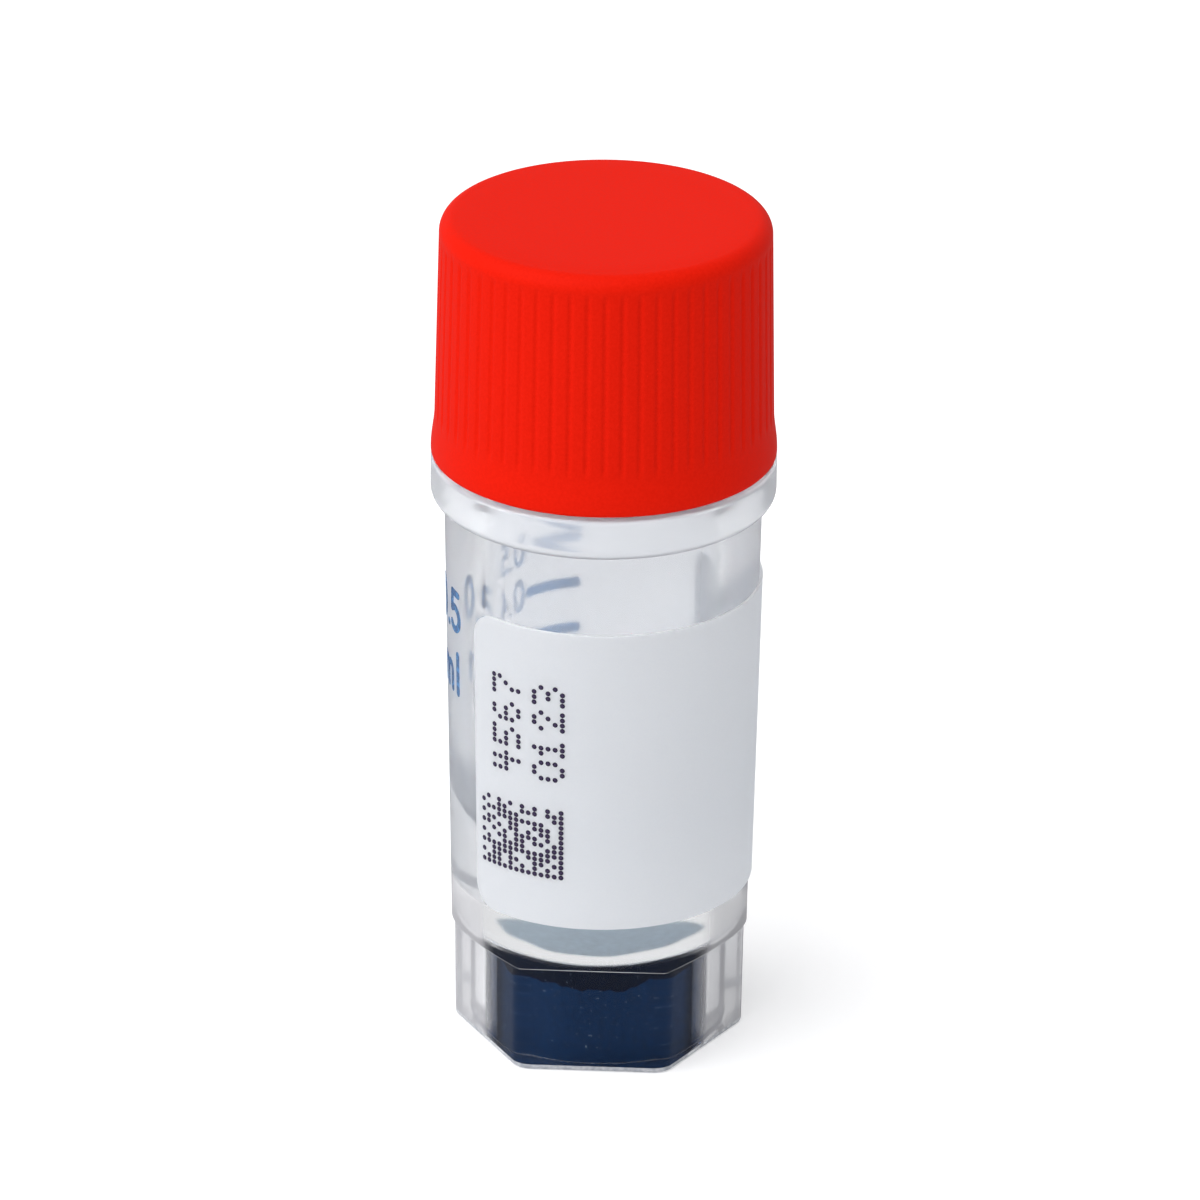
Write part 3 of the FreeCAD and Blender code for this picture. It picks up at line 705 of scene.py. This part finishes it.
# %% Plastics of the moulding
FOOT, WALL, BORE, WORN_HIGHLIT_EDGE, NECK, HOLLOW = range(6)
HIGHLIT_EDGE_TOP, HIGHLIT_EDGE_R, SLACK = EDGE_BREAK + 0.08, 4.4, 0.05
for extra in (wall_plastic, bore_plastic, edge_wear_and_highlight, collar_plastic, hollow_plastic):
    vial.data.materials.append(extra)
centre = np.zeros(len(vial.data.polygons) * 3)
vial.data.polygons.foreach_get("center", centre)
centre = centre.reshape(-1, 3) / MM
from_axis, height = np.hypot(centre[:, 0], centre[:, 1]), centre[:, 2]
slot = np.where(height < LABEL_LOW_Z, FOOT, np.where(height > COLLAR_LOW_Z - 0.1, NECK, WALL))
inside = (height > LABEL_LOW_Z) & (from_axis < BORE_R + SLACK)
slot[inside] = BORE
slot[inside & (height < BORE_LOW_Z)] = HOLLOW
# These rim faces get the worn edge with its painted highlight.
slot[(height < HIGHLIT_EDGE_TOP) & (height > 0.001) & (from_axis > HIGHLIT_EDGE_R)] = WORN_HIGHLIT_EDGE
vial.data.polygons.foreach_set("material_index", slot)
print("faces in each slot:", np.bincount(slot))

# %% [markdown]
# ## Code plug
# The dark insert is pressed into the socket from below. Where its side is dry, a film of air lies
# between plug and wall, and light that meets it at a slant is mirrored instead of showing the
# plug. Where it is stuck to the wall, the plug shows at any slant. Two surfaces that nearly touch
# would be hard to tell from two that do, so the plug is made a hair wider than the socket where it
# sticks: along a ring at the bottom, on a broad patch at the front and one at the back, and in a
# band round the top. The band's lower edge wanders as sealant does, by a few sine waves of
# different lengths, and dips at the front.

# %% Where the plug sticks
BITE, PATCH_HALF, PATCH_FADE = 0.01, 58, 3
BAND_LOW_Z, BAND_DIP, DIP_SPREAD = 3.5, 0.55, 0.5
WAVES = ((0.05, 7, 1), (0.05, 13, 2.2), (0.03, 31, 0.7), (0.02, 57, 0))
TURN = np.radians(np.arange(0, 360, 1.5))
touch_r = SOCKET_R + BITE
off_front = np.mod(TURN + 2.1 * math.pi, math.tau) - 1.6 * math.pi
wavy = BAND_LOW_Z - BAND_DIP * np.exp(-off_front ** 2 / DIP_SPREAD)
for size, count, shift in WAVES:
    wavy = wavy + size * np.sin(count * TURN + shift)
from_front = np.abs(np.degrees(TURN) - 270)
aside = np.minimum(from_front, np.abs(180 - from_front))
stuck = np.clip((PATCH_HALF - aside) / PATCH_FADE, 0, 1)
side_r = PLUG_R + (touch_r - PLUG_R) * stuck
print("the band's lower edge runs from", wavy.min().round(2), "to", wavy.max().round(2), "mm")

# %% [markdown]
# The plug is turned like the vial. Its rows are the underside, the ring that touches, the side,
# the band, and the top with a round patch of sealant that reaches the socket's ceiling.

# %% Plug shape
RING_HIGH_Z, SIDE_HIGH_Z, PATCH_R = 0.16, 2.6, 2.3
band_top, pale_z = SOCKET_TOP - 0.15, SOCKET_TOP + BITE
patch = PATCH_R + 0.1 * np.sin(3 * TURN + 0.4) + 0.05 * np.sin(8 * TURN)
plug_rows = [(0, PLUG_LOW_Z), (1.5, PLUG_LOW_Z), (PLUG_R - 0.35, PLUG_LOW_Z)]
plug_rows += [(touch_r - 0.02, 0.005), (touch_r, 0.02), (touch_r, 0.14), (side_r, RING_HIGH_Z)]
plug_rows += [(side_r, z) for z in np.linspace(RING_HIGH_Z, SIDE_HIGH_Z, 8)[1:]]
plug_rows += [(side_r, wavy - 0.02), (touch_r, wavy), (touch_r, 0.5 * (wavy + band_top)),
              (touch_r, band_top), (PLUG_R - 0.05, PLUG_TOP_Z), (patch + 0.05, PLUG_TOP_Z),
              (patch, pale_z), (0.5 * patch, pale_z), (0, pale_z)]
plug = turned_solid("code_insert", plug_rows, TURN)
print("plug rows:", len(plug_rows), "columns:", len(TURN))

# %% [markdown]
# What shows in which colour is written on the plug itself, as one number a point: 0 for bare navy,
# 0.5 for the darker sealed band, 1 for the pale patch of sealant on the top. The side is bare navy
# in the middle of its two stuck patches and darkens towards their edges with the band's dark
# colour. That darkening is painted shade, towards the left and right. A colour ramp in the
# material turns the number into a colour, and because the points lie closer than the eye can tell,
# the borders come out crisp. Specks of dust and tiny bubbles are the few places where a fine noise
# runs high.

# %% Plug colours
DARK_SEAL_AND_SHADE, PALE, SIDE_SHADE_FROM, SIDE_SHADE_OVER, SIDE_SHADE_LEAST = 0.5, 1.0, 44, 12, 0.16
row_kind = np.zeros((len(plug_rows), len(TURN)))
# Painted shade: the side darkens towards the edges of each stuck patch.
row_kind[4:-8] = DARK_SEAL_AND_SHADE * stuck * np.clip((aside - SIDE_SHADE_FROM) / SIDE_SHADE_OVER, SIDE_SHADE_LEAST, 1)
row_kind[-8:-4], row_kind[-3:] = DARK_SEAL_AND_SHADE, PALE
kind = np.concatenate([row_kind[0, :1], row_kind[1:-1].ravel(), row_kind[-1, :1]])
plug.data.attributes.new("seal_and_shade", "FLOAT", "POINT").data.foreach_set("value", kind)
tree = navy_plastic.node_tree
read = node(tree, "ShaderNodeAttribute", attribute_name="seal_and_shade").outputs["Fac"]
seal_and_shade = ramp(tree, read, (0.0, (0.005, 0.037, 0.120)), (DARK_SEAL_AND_SHADE, (0.0008, 0.006, 0.024)),
              (PALE, (0.64, 0.76, 0.85)))
dusty = node(tree, "ShaderNodeMix", {"Factor": 0.5, "A": seal_and_shade,
                                     "B": tree.nodes["Group"].outputs["Mask"]},
             data_type="RGBA", blend_type="MULTIPLY")
fine = node(tree, "ShaderNodeGroup", {"Grain Size": 11000}, node_tree=moulded).outputs["Mask"]
specks = node(tree, "ShaderNodeMix", {"Factor": smooth_step(tree, fine, 0.66, 0.76, 0.6),
                                      "A": dusty.outputs["Result"], "B": (0.20, 0.27, 0.36, 1)},
              data_type="RGBA")
tree.links.new(specks.outputs["Result"], tree.nodes["Principled BSDF"].inputs["Base Color"])
finish_piece(plug, navy_plastic, "vial", "navy_plastic", "code_plug")

# %% [markdown]
# ## Writing label
# The label is a film wrapped round half of the barrel. One rounded rectangle, laid out on the
# cone, is enough, and a Solidify modifier gives it its thickness inwards. Its skin lies a little
# more than that thickness off the barrel, so the inner face stays a hair clear of it.

# %% Label
LABEL_MIDDLE, LABEL_SKIN, LABEL_CORNER, FILM = math.radians(-50), 0.12, 1.0, 0.1
edge_turn = 1 - np.cos(np.linspace(0, math.pi / 2, 14))
label_z = np.concatenate([LABEL_LOW_Z + LABEL_CORNER * edge_turn,
                          np.linspace(LABEL_LOW_Z + LABEL_CORNER, LABEL_HIGH_Z - LABEL_CORNER,
                                      10)[1:-1],
                          LABEL_HIGH_Z - LABEL_CORNER * edge_turn[::-1]])


def label_half_angle(z):
    """A quarter turn, less what the corner's circle takes away near the top and the bottom."""
    near = np.minimum(np.minimum(z - LABEL_LOW_Z, LABEL_HIGH_Z - z), LABEL_CORNER)
    gone = LABEL_CORNER - np.sqrt(np.maximum(LABEL_CORNER ** 2 - (LABEL_CORNER - near) ** 2, 0))
    return math.pi / 2 - gone / (barrel_radius(z) + LABEL_SKIN)


label_angle = LABEL_MIDDLE + label_half_angle(label_z)[:, None] * np.linspace(-1, 1, 141)
label_points = grid_points((barrel_radius(label_z) + LABEL_SKIN)[:, None], label_z[:, None],
                           label_angle)
label = mesh_object("label_sheet", label_points.reshape(-1, 3),
                    grid_faces(*label_angle.shape, round_columns=False).tolist())
wall = label.modifiers.new("film", "SOLIDIFY")
wall.thickness, wall.offset = FILM * MM, -1
finish_piece(label, label_film, "vial", "label_film", "writing_label")

# %% [markdown]
# ## Prints
# Anything printed on the vial lies on the cone, so it is drawn flat first, in millimetres round
# and up, and then wrapped. Round the vial, positions are given in degrees from the front, growing
# to the right. A pen stroke becomes a flat ribbon with round ends and a little thickness, half of
# it under the surface, so that it never floats.

# %% Wrap flat drawings on to the barrel
INK_HALF, BLUNT = 0.012, 0.12


def wrap(degrees, z, lift):
    """The point on the barrel at so many degrees from the front, lifted off its surface."""
    return grid_points(barrel_radius(z) + lift, z, np.radians(degrees - 90))


def stroke(across, up, half_width):
    """A pen stroke laid flat: its left and right edges. The edges lie half a width to each side
    of the line, along the normal of its direction, and the ends are drawn in to be round."""
    line = np.stack([across, up], -1).astype(float)
    start, stop = line[1] - line[0], line[-1] - line[-2]
    ends = np.radians([0, 30, 60])
    lead_in = line[0] - (start / np.hypot(*start)) * half_width * np.cos(ends)[:, None]
    lead_out = line[-1] + (stop / np.hypot(*stop)) * half_width * np.cos(ends[::-1])[:, None]
    widths = np.concatenate([np.sin(ends), np.ones(len(line)), np.sin(ends[::-1])])
    line = np.concatenate([lead_in, line, lead_out])
    along = np.gradient(line, axis=0)
    along /= np.hypot(along[:, 0], along[:, 1])[:, None]
    normal = np.stack([-along[:, 1], along[:, 0]], -1)
    reach = normal * np.maximum(widths, BLUNT)[:, None] * half_width
    return line + reach, line - reach


def ribbon(across, up, half_width, degrees, z, first):
    """Points and faces of a stroke wrapped on to the barrel: a tube of four corners a step."""
    left, right_edge = stroke(across, up, half_width)
    flat = np.stack([left, right_edge, right_edge, left], 1)
    lift = INK_HALF * np.array([-1, -1, 1, 1])
    z_here = z + flat[..., 1]
    turned = degrees + np.degrees(flat[..., 0] / barrel_radius(z_here))
    points = wrap(turned, z_here, lift)
    faces = grid_faces(len(points), 4, first).tolist()
    last = first + 4 * (len(points) - 1)
    faces += [[first + 3, first + 2, first + 1, first], [last, last + 1, last + 2, last + 3]]
    return points.reshape(-1, 3), faces


print("front of the barrel at 10 mm:", wrap(0.0, 10.0, 0.0).round(3))

# %% [markdown]
# The scale's figures are drawn as pen strokes, each glyph in a box one high and 0.6 wide. Corners
# are made by two strokes that meet, because one stroke bent sharply would pinch.

# %% Figures for the scale
def ellipse(x, y, rx, ry, start, stop, steps):
    """Points round an ellipse from one angle to another, in degrees."""
    turn = np.radians(np.linspace(start, stop, steps))
    return x + rx * np.cos(turn), y + ry * np.sin(turn)


def straight(*corners):
    """Points along straight runs, a few to each, so that a wrapped line follows the barrel."""
    corners = np.array(corners, float)
    t = np.linspace(0, len(corners) - 1, 6 * (len(corners) - 1) + 1)
    k = np.arange(len(corners))
    return np.interp(t, k, corners[:, 0]), np.interp(t, k, corners[:, 1])


GLYPHS = {
    "0": [ellipse(0.3, 0.5, 0.24, 0.44, 90, 450, 32)],
    "1": [straight((0.12, 0.76), (0.34, 0.94)), straight((0.34, 0.94), (0.34, 0.06))],
    "2": [np.concatenate([ellipse(0.3, 0.70, 0.23, 0.24, 165, -38, 18),
                          straight((0.46, 0.53), (0.08, 0.06))], 1),
          straight((0.08, 0.06), (0.54, 0.06))],
    "3": [ellipse(0.28, 0.73, 0.22, 0.21, 150, -90, 18),
          ellipse(0.28, 0.29, 0.25, 0.23, 90, -150, 18)],
    "4": [straight((0.42, 0.06), (0.42, 0.94)), straight((0.42, 0.94), (0.06, 0.32)),
          straight((0.06, 0.32), (0.56, 0.32))],
    "5": [straight((0.50, 0.94), (0.14, 0.94)), straight((0.14, 0.94), (0.10, 0.52)),
          ellipse(0.29, 0.32, 0.25, 0.27, 128, -145, 22)],
    ".": [straight((0.10, 0.05), (0.12, 0.05))],
    "m": [straight((0.08, 0.06), (0.08, 0.62)), straight((0.40, 0.06), (0.40, 0.42)),
          straight((0.72, 0.06), (0.72, 0.42)), ellipse(0.24, 0.42, 0.16, 0.18, 180, 0, 12),
          ellipse(0.56, 0.42, 0.16, 0.18, 180, 0, 12)],
    "l": [straight((0.08, 0.06), (0.08, 0.94))],
}
ADVANCE = {"m": 0.98, "l": 0.3, ".": 0.3}
FIGURE_ADVANCE = 0.72
print("glyphs:", " ".join(GLYPHS))

# %% [markdown]
# Many strokes make one print, so a small class gathers their points and faces before a mesh is
# made of them.

# %% A print of many strokes
class Print:
    """Collects the points and faces of many strokes, to make one mesh of them."""

    def __init__(self):
        self.points, self.faces, self.count = [], [], 0

    def add(self, points, faces):
        self.points.append(points)
        self.faces += faces
        self.count += len(points)

    def write(self, text, degrees, z, tall, half_width):
        """Write text upright, from its left edge at a place on the barrel."""
        x = 0.0
        for sign in text:
            for across, up in GLYPHS[sign]:
                self.add(*ribbon((across + x) * tall, up * tall, half_width, degrees, z,
                                 self.count))
            x += ADVANCE.get(sign, FIGURE_ADVANCE)

    def rule(self, start, stop, z, half_width):
        """Draw a level line from one bearing to another."""
        length = math.radians(stop - start) * barrel_radius(z)
        across = np.linspace(0, length, 14)
        self.add(*ribbon(across, 0 * across, half_width, start, z, self.count))

    def piece(self, name):
        """Make one mesh object of all that was drawn."""
        return mesh_object(name, np.concatenate(self.points), self.faces)


scale = Print()
print("the scale's print is empty:", scale.count, "points")

# %% [markdown]
# The scale stands on the back of the barrel, where it shows through the clear walls: a line for
# each 0.1 ml and its figure beside it, and the volume with its unit on the left side. The lines
# are as far apart as 0.1 ml is high in the bore.

# %% Scale print
LOWEST_LINE_Z, LINE_FROM, LINE_TO, LINE_HALF = 10.25, -165, -138.6, 0.2
FIGURE_FROM, FIGURE_DROP, FIGURE_TALL, FIGURE_PEN, BIG_PEN = -135.5, 0.62, 1.27, 0.095, 0.14
step_z = 100.0 / (math.pi * BORE_R ** 2)
for k in range(5):
    z = LOWEST_LINE_Z + k * step_z
    scale.rule(LINE_FROM, LINE_TO, z, LINE_HALF)
    scale.write(f"0.{k + 1}", FIGURE_FROM, z - FIGURE_DROP, FIGURE_TALL, FIGURE_PEN)
scale.write("0.5", degrees=-88.0, z=16.4, tall=1.6, half_width=BIG_PEN)
scale.write("ml", degrees=-83.0, z=13.9, tall=1.7, half_width=BIG_PEN)
scale_print = scale.piece("volume_scale")
finish_piece(scale_print, scale_ink, "vial", "label_film")
print("height of 0.1 ml in the bore:", round(step_z, 3), "mm")

# %% [markdown]
# ## Printed code
# The label carries a code printed in dots: two columns of plain figures that read upwards, and
# below them a square of dots. The square is only a pattern worked out by a formula, and the
# figures are the plain row from 0 to 7.

# %% Dot positions
FIGURES = {
    "0": ".##. #..# #..# #..# .##.", "1": ".#.. ##.. .#.. .#.. ###.",
    "2": ".##. #..# ..#. .#.. ####", "3": "###. ...# .##. ...# ###.",
    "4": "#.#. #.#. #### ..#. ..#.", "5": "#### #... ###. ...# ###.",
    "6": ".##. #... ###. #..# .##.", "7": "#### ...# ..#. .#.. .#..",
}
DOT_STEP, ROW_TURN, FIGURE_STEP = 0.207, 2.7, 1.0
SQUARE_DOTS, SQUARE_LEFT, SQUARE_WIDE, SQUARE_LOW, SQUARE_TALL = 14, -45.2, 33.6, 8.2, 2.6


def figure_dots(text, degrees, z):
    """Bearings and heights of the dots of a text that reads upwards: a glyph's columns climb the
    vial and its rows run round it, and each next glyph starts a millimetre higher."""
    found = []
    for k, sign in enumerate(text):
        dots = np.array([[mark == "#" for mark in row] for row in FIGURES[sign].split()])
        row, column = np.nonzero(dots)
        found.append(np.stack([degrees + row * ROW_TURN,
                               z + k * FIGURE_STEP + column * DOT_STEP], -1))
    return np.concatenate(found)


def code_square():
    """A square of dots: its right column and bottom row are full, and its left column and top
    row have every second dot. Inside, a dot stands where 5 row row + 11 column + 7 row column,
    of which only the rest after dividing by 13 counts, is no multiple of 3."""
    row, column = np.mgrid[0:SQUARE_DOTS, 0:SQUARE_DOTS]
    last = SQUARE_DOTS - 1
    inside = (row * row * 5 + column * 11 + row * column * 7) % 13 % 3 != 0
    full = (column == last) | (row == 0)
    edge = (column == 0) | (row == last)
    keep = np.where(full, True, np.where(edge, (row + column) % 2 == 0, inside))
    row, column = np.nonzero(keep)
    return np.stack([SQUARE_LEFT + column * SQUARE_WIDE / last,
                     SQUARE_LOW + row * SQUARE_TALL / last], -1)


dots = np.concatenate([figure_dots("4567", degrees=-39.3, z=12.15),
                       figure_dots("0123", degrees=-22.0, z=12.1), code_square()])
print("dots:", len(dots))

# %% [markdown]
# Each dot is one low dome of 25 faces, a little darker round its rim, as ink dries. How
# near a point is to the middle of its dot is stored on the mesh, and the ink's ramp reads it.

# %% Dot domes
DOT_R, SIDES = 0.1, 8


def dot_domes(centres):
    """A dome for each centre: three rings of eight points and a top. Ring by ring the dome rises
    from a little under the label's surface, and the lowest ring is closed by one flat face."""
    ring = np.radians(np.arange(0, 360, 360 / SIDES))
    reach = np.array([1.0, 1.0, 0.62, 0.0])[:, None] * DOT_R
    lift = LABEL_SKIN + np.array([-0.02, 0.004, 0.012, 0.014])[:, None]
    across, up = reach * np.cos(ring), reach * np.sin(ring)
    z = centres[:, 1, None, None] + up
    degrees = centres[:, 0, None, None] + np.degrees(across / (barrel_radius(z) + LABEL_SKIN))
    points = wrap(degrees, z, lift)
    rings = points[:, :3].reshape(len(centres), 3 * SIDES, 3)
    points = np.concatenate([rings, points[:, 3, :1]], 1)
    k = np.arange(SIDES)
    side = grid_faces(3, SIDES)
    top = np.stack([2 * SIDES + k, 2 * SIDES + (k + 1) % SIDES, 0 * k + 3 * SIDES], -1)
    first = (3 * SIDES + 1) * np.arange(len(centres))
    faces = ((first[:, None, None] + side).reshape(-1, 4).tolist()
             + (first[:, None, None] + top).reshape(-1, 3).tolist()
             + (first[:, None] + k[::-1]).tolist())
    middle = np.tile(np.concatenate([np.repeat([0.0, 0.1, 0.75], SIDES), [1.0]]), len(centres))
    return points.reshape(-1, 3), faces, middle


code_points, code_faces, middle = dot_domes(dots)
code = mesh_object("dot_code", code_points, code_faces, crease=60)
code.data.attributes.new("middle", "FLOAT", "POINT").data.foreach_set("value", middle)
print("faces a dot:", len(code_faces) // len(dots))

# %% [markdown]
# The code's ink is nearly black with a violet cast, and glossier than the scale's.

# %% Code ink
code_ink = plastic("code_ink", (0.02, 0.01, 0.04), roughness=0.4, grain=20000, spread=0.1,
                   Specular_IOR_Level=0.3)
tree = code_ink.node_tree
read = node(tree, "ShaderNodeAttribute", attribute_name="middle").outputs["Fac"]
dried = ramp(tree, read, (0.3, (0.012, 0.006, 0.028)), (1.0, (0.05, 0.035, 0.085)))
tree.links.new(dried, tree.nodes["Principled BSDF"].inputs["Base Color"])
finish_piece(code, code_ink, "vial", "navy_plastic")

# %% [markdown]
# ## Screw cap
# The cap is one red moulding: a flared rim, a ribbed grip that narrows a little to a rounded top,
# and a threaded bore. Sixty grooves could be cut with an array of cutters, but a turned grid gives
# them directly: every rib gets the same ten columns, and the grip's rows pull the radius in at
# each groove. The groove's bottom is a smooth hollow, one cosine wave wide, and it runs out
# below the rounding and above the rim.

# %% Grip grooves
RIBS, GROOVE_HALF, GROOVE_DEPTH, GROOVE_RAMP, CAP_ROUND = 60, 1.35, 0.048, 0.5, 0.58
RIB = math.radians(360 / RIBS)
rib_steps = np.radians([0, 0.45, 0.9, 1.35, 1.9, 3.0, 4.1, 4.65, 5.1, 5.55])
CAP_ANGLE = (RIB * (np.arange(RIBS)[:, None] + 0.5) + rib_steps).ravel()
GRIP_TOP_Z = TOP_Z - CAP_ROUND


def groove_share(angle, z):
    """How deep the surface is cut, from 0 to 1: a cosine hollow across, and at each end a ramp
    that begins a little outside the straight part of the grip."""
    from_centre = np.abs(np.mod(angle / RIB, 1.0) - 0.5) * np.degrees(RIB)
    across = 0.5 + 0.5 * np.cos(np.pi * np.clip(from_centre / GROOVE_HALF, 0, 1))
    ends = (np.clip((z - GRIP_LOW_Z + 0.25) / GROOVE_RAMP, 0, 1)
            * np.clip((GRIP_TOP_Z + 0.1 - z) / GROOVE_RAMP, 0, 1))
    return across * ends * ends * (3 - 2 * ends)


def grip_radius(z):
    """The grip narrows evenly from above the rim to the top."""
    return GRIP_LOW_R + (z - GRIP_LOW_Z) / (TOP_Z - GRIP_LOW_Z) * (GRIP_HIGH_R - GRIP_LOW_R)


print("columns:", len(CAP_ANGLE), "groove depth", GROOVE_DEPTH, "mm")

# %% [markdown]
# The rows start in the middle of the cap's ceiling, go down the threaded bore, round the rim, and
# up the outside to the middle of the top. The cap's thread stands inwards, and its ridges lie
# midway between the neck's.

# %% Inside of the cap and its rim
CEILING_ROUND, RIM_ROUND, FLARE_Z = 0.1, 0.12, CAP_Z + 0.2
cap_rows = [(0, SEAL_HIGH_Z), (2.5, SEAL_HIGH_Z), (4.6, SEAL_HIGH_Z)]
cap_rows += arc(CAP_BORE_R - CEILING_ROUND, SEAL_HIGH_Z - CEILING_ROUND, CEILING_ROUND, 90, 0, 4)
for z in np.arange(SEAL_HIGH_Z - 0.2, CAP_Z + 0.28, -0.1):
    ridge = thread_share(CAP_ANGLE, z, THREAD_START_Z - LEAD / 4)
    cap_rows.append((CAP_BORE_R - THREAD_DEPTH * ridge, z))
cap_rows += [(CAP_BORE_R, FLARE_Z), (CAP_BORE_R + 0.1, CAP_Z + 0.06), (CAP_BORE_R + 0.2, CAP_Z),
             (RIM_R - 0.3, CAP_Z)]
cap_rows += arc(RIM_R - RIM_ROUND, CAP_Z + RIM_ROUND, RIM_ROUND, -90, 0, 5)
cap_rows += [(RIM_R, FLARE_Z)]
print("rows so far:", len(cap_rows))

# %% [markdown]
# The flare eases from the rim to the grip along a smooth step. The grip's rows are close together
# only where the grooves run out.

# %% Outside of the cap
for share in np.linspace(0, 1, 9)[1:]:
    ease = share * share * (3 - 2 * share)
    z = FLARE_Z + (GRIP_LOW_Z - FLARE_Z) * share
    cap_rows.append((RIM_R + (GRIP_LOW_R - RIM_R) * ease
                     - GROOVE_DEPTH * groove_share(CAP_ANGLE, z), z))
for z in np.concatenate([GRIP_LOW_Z + np.array([0.08, 0.17, 0.3]),
                         np.linspace(GRIP_LOW_Z + 0.7, GRIP_TOP_Z - 0.5, 12),
                         GRIP_TOP_Z - np.array([0.35, 0.25, 0.15, 0.05])]):
    cap_rows.append((grip_radius(z) - GROOVE_DEPTH * groove_share(CAP_ANGLE, z), z))
cap_rows += arc(grip_radius(GRIP_TOP_Z) - CAP_ROUND, GRIP_TOP_Z, CAP_ROUND, 0, 90, 12)
cap_rows += [(4.5, TOP_Z), (3.0, TOP_Z), (1.5, TOP_Z), (0, TOP_Z)]
cap = turned_solid("ribbed_cap", cap_rows, CAP_ANGLE, crease=40)
finish_piece(cap, red_plastic, "cap", "red_plastic", "screw_cap")

# %% [markdown]
# ## Sealing ring
# A soft ring sits between the cap's ceiling and the mouth. It is a turned outline that closes on
# itself, with its four edges rounded.

# %% Sealing ring
SEAL_ROUND = 0.12
outer, inner = SEAL_R - SEAL_ROUND, SEAL_HOLE_R + SEAL_ROUND
low, high = SEAL_LOW_Z + SEAL_ROUND, SEAL_HIGH_Z - SEAL_ROUND
seal_outline = []
for r, z, start in ((outer, low, -90), (outer, high, 0), (inner, high, 90), (inner, low, 180)):
    seal_outline += arc(r, z, SEAL_ROUND, start, start + 90, 6)
seal = turned_ring("sealing_ring", seal_outline, np.radians(np.arange(0, 360, 3)))
finish_piece(seal, seal_rubber, "gasket", "seal_rubber", "cap_gasket")

# %% [markdown]
# ## The box of the visual model is printed, in millimetres.
# The visual model has to be as large as the imported one.

# %% Write the two boxes and finish
low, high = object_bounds()
print("visual box in mm:", [round(v / MM, 2) for v in (*low, *high)])
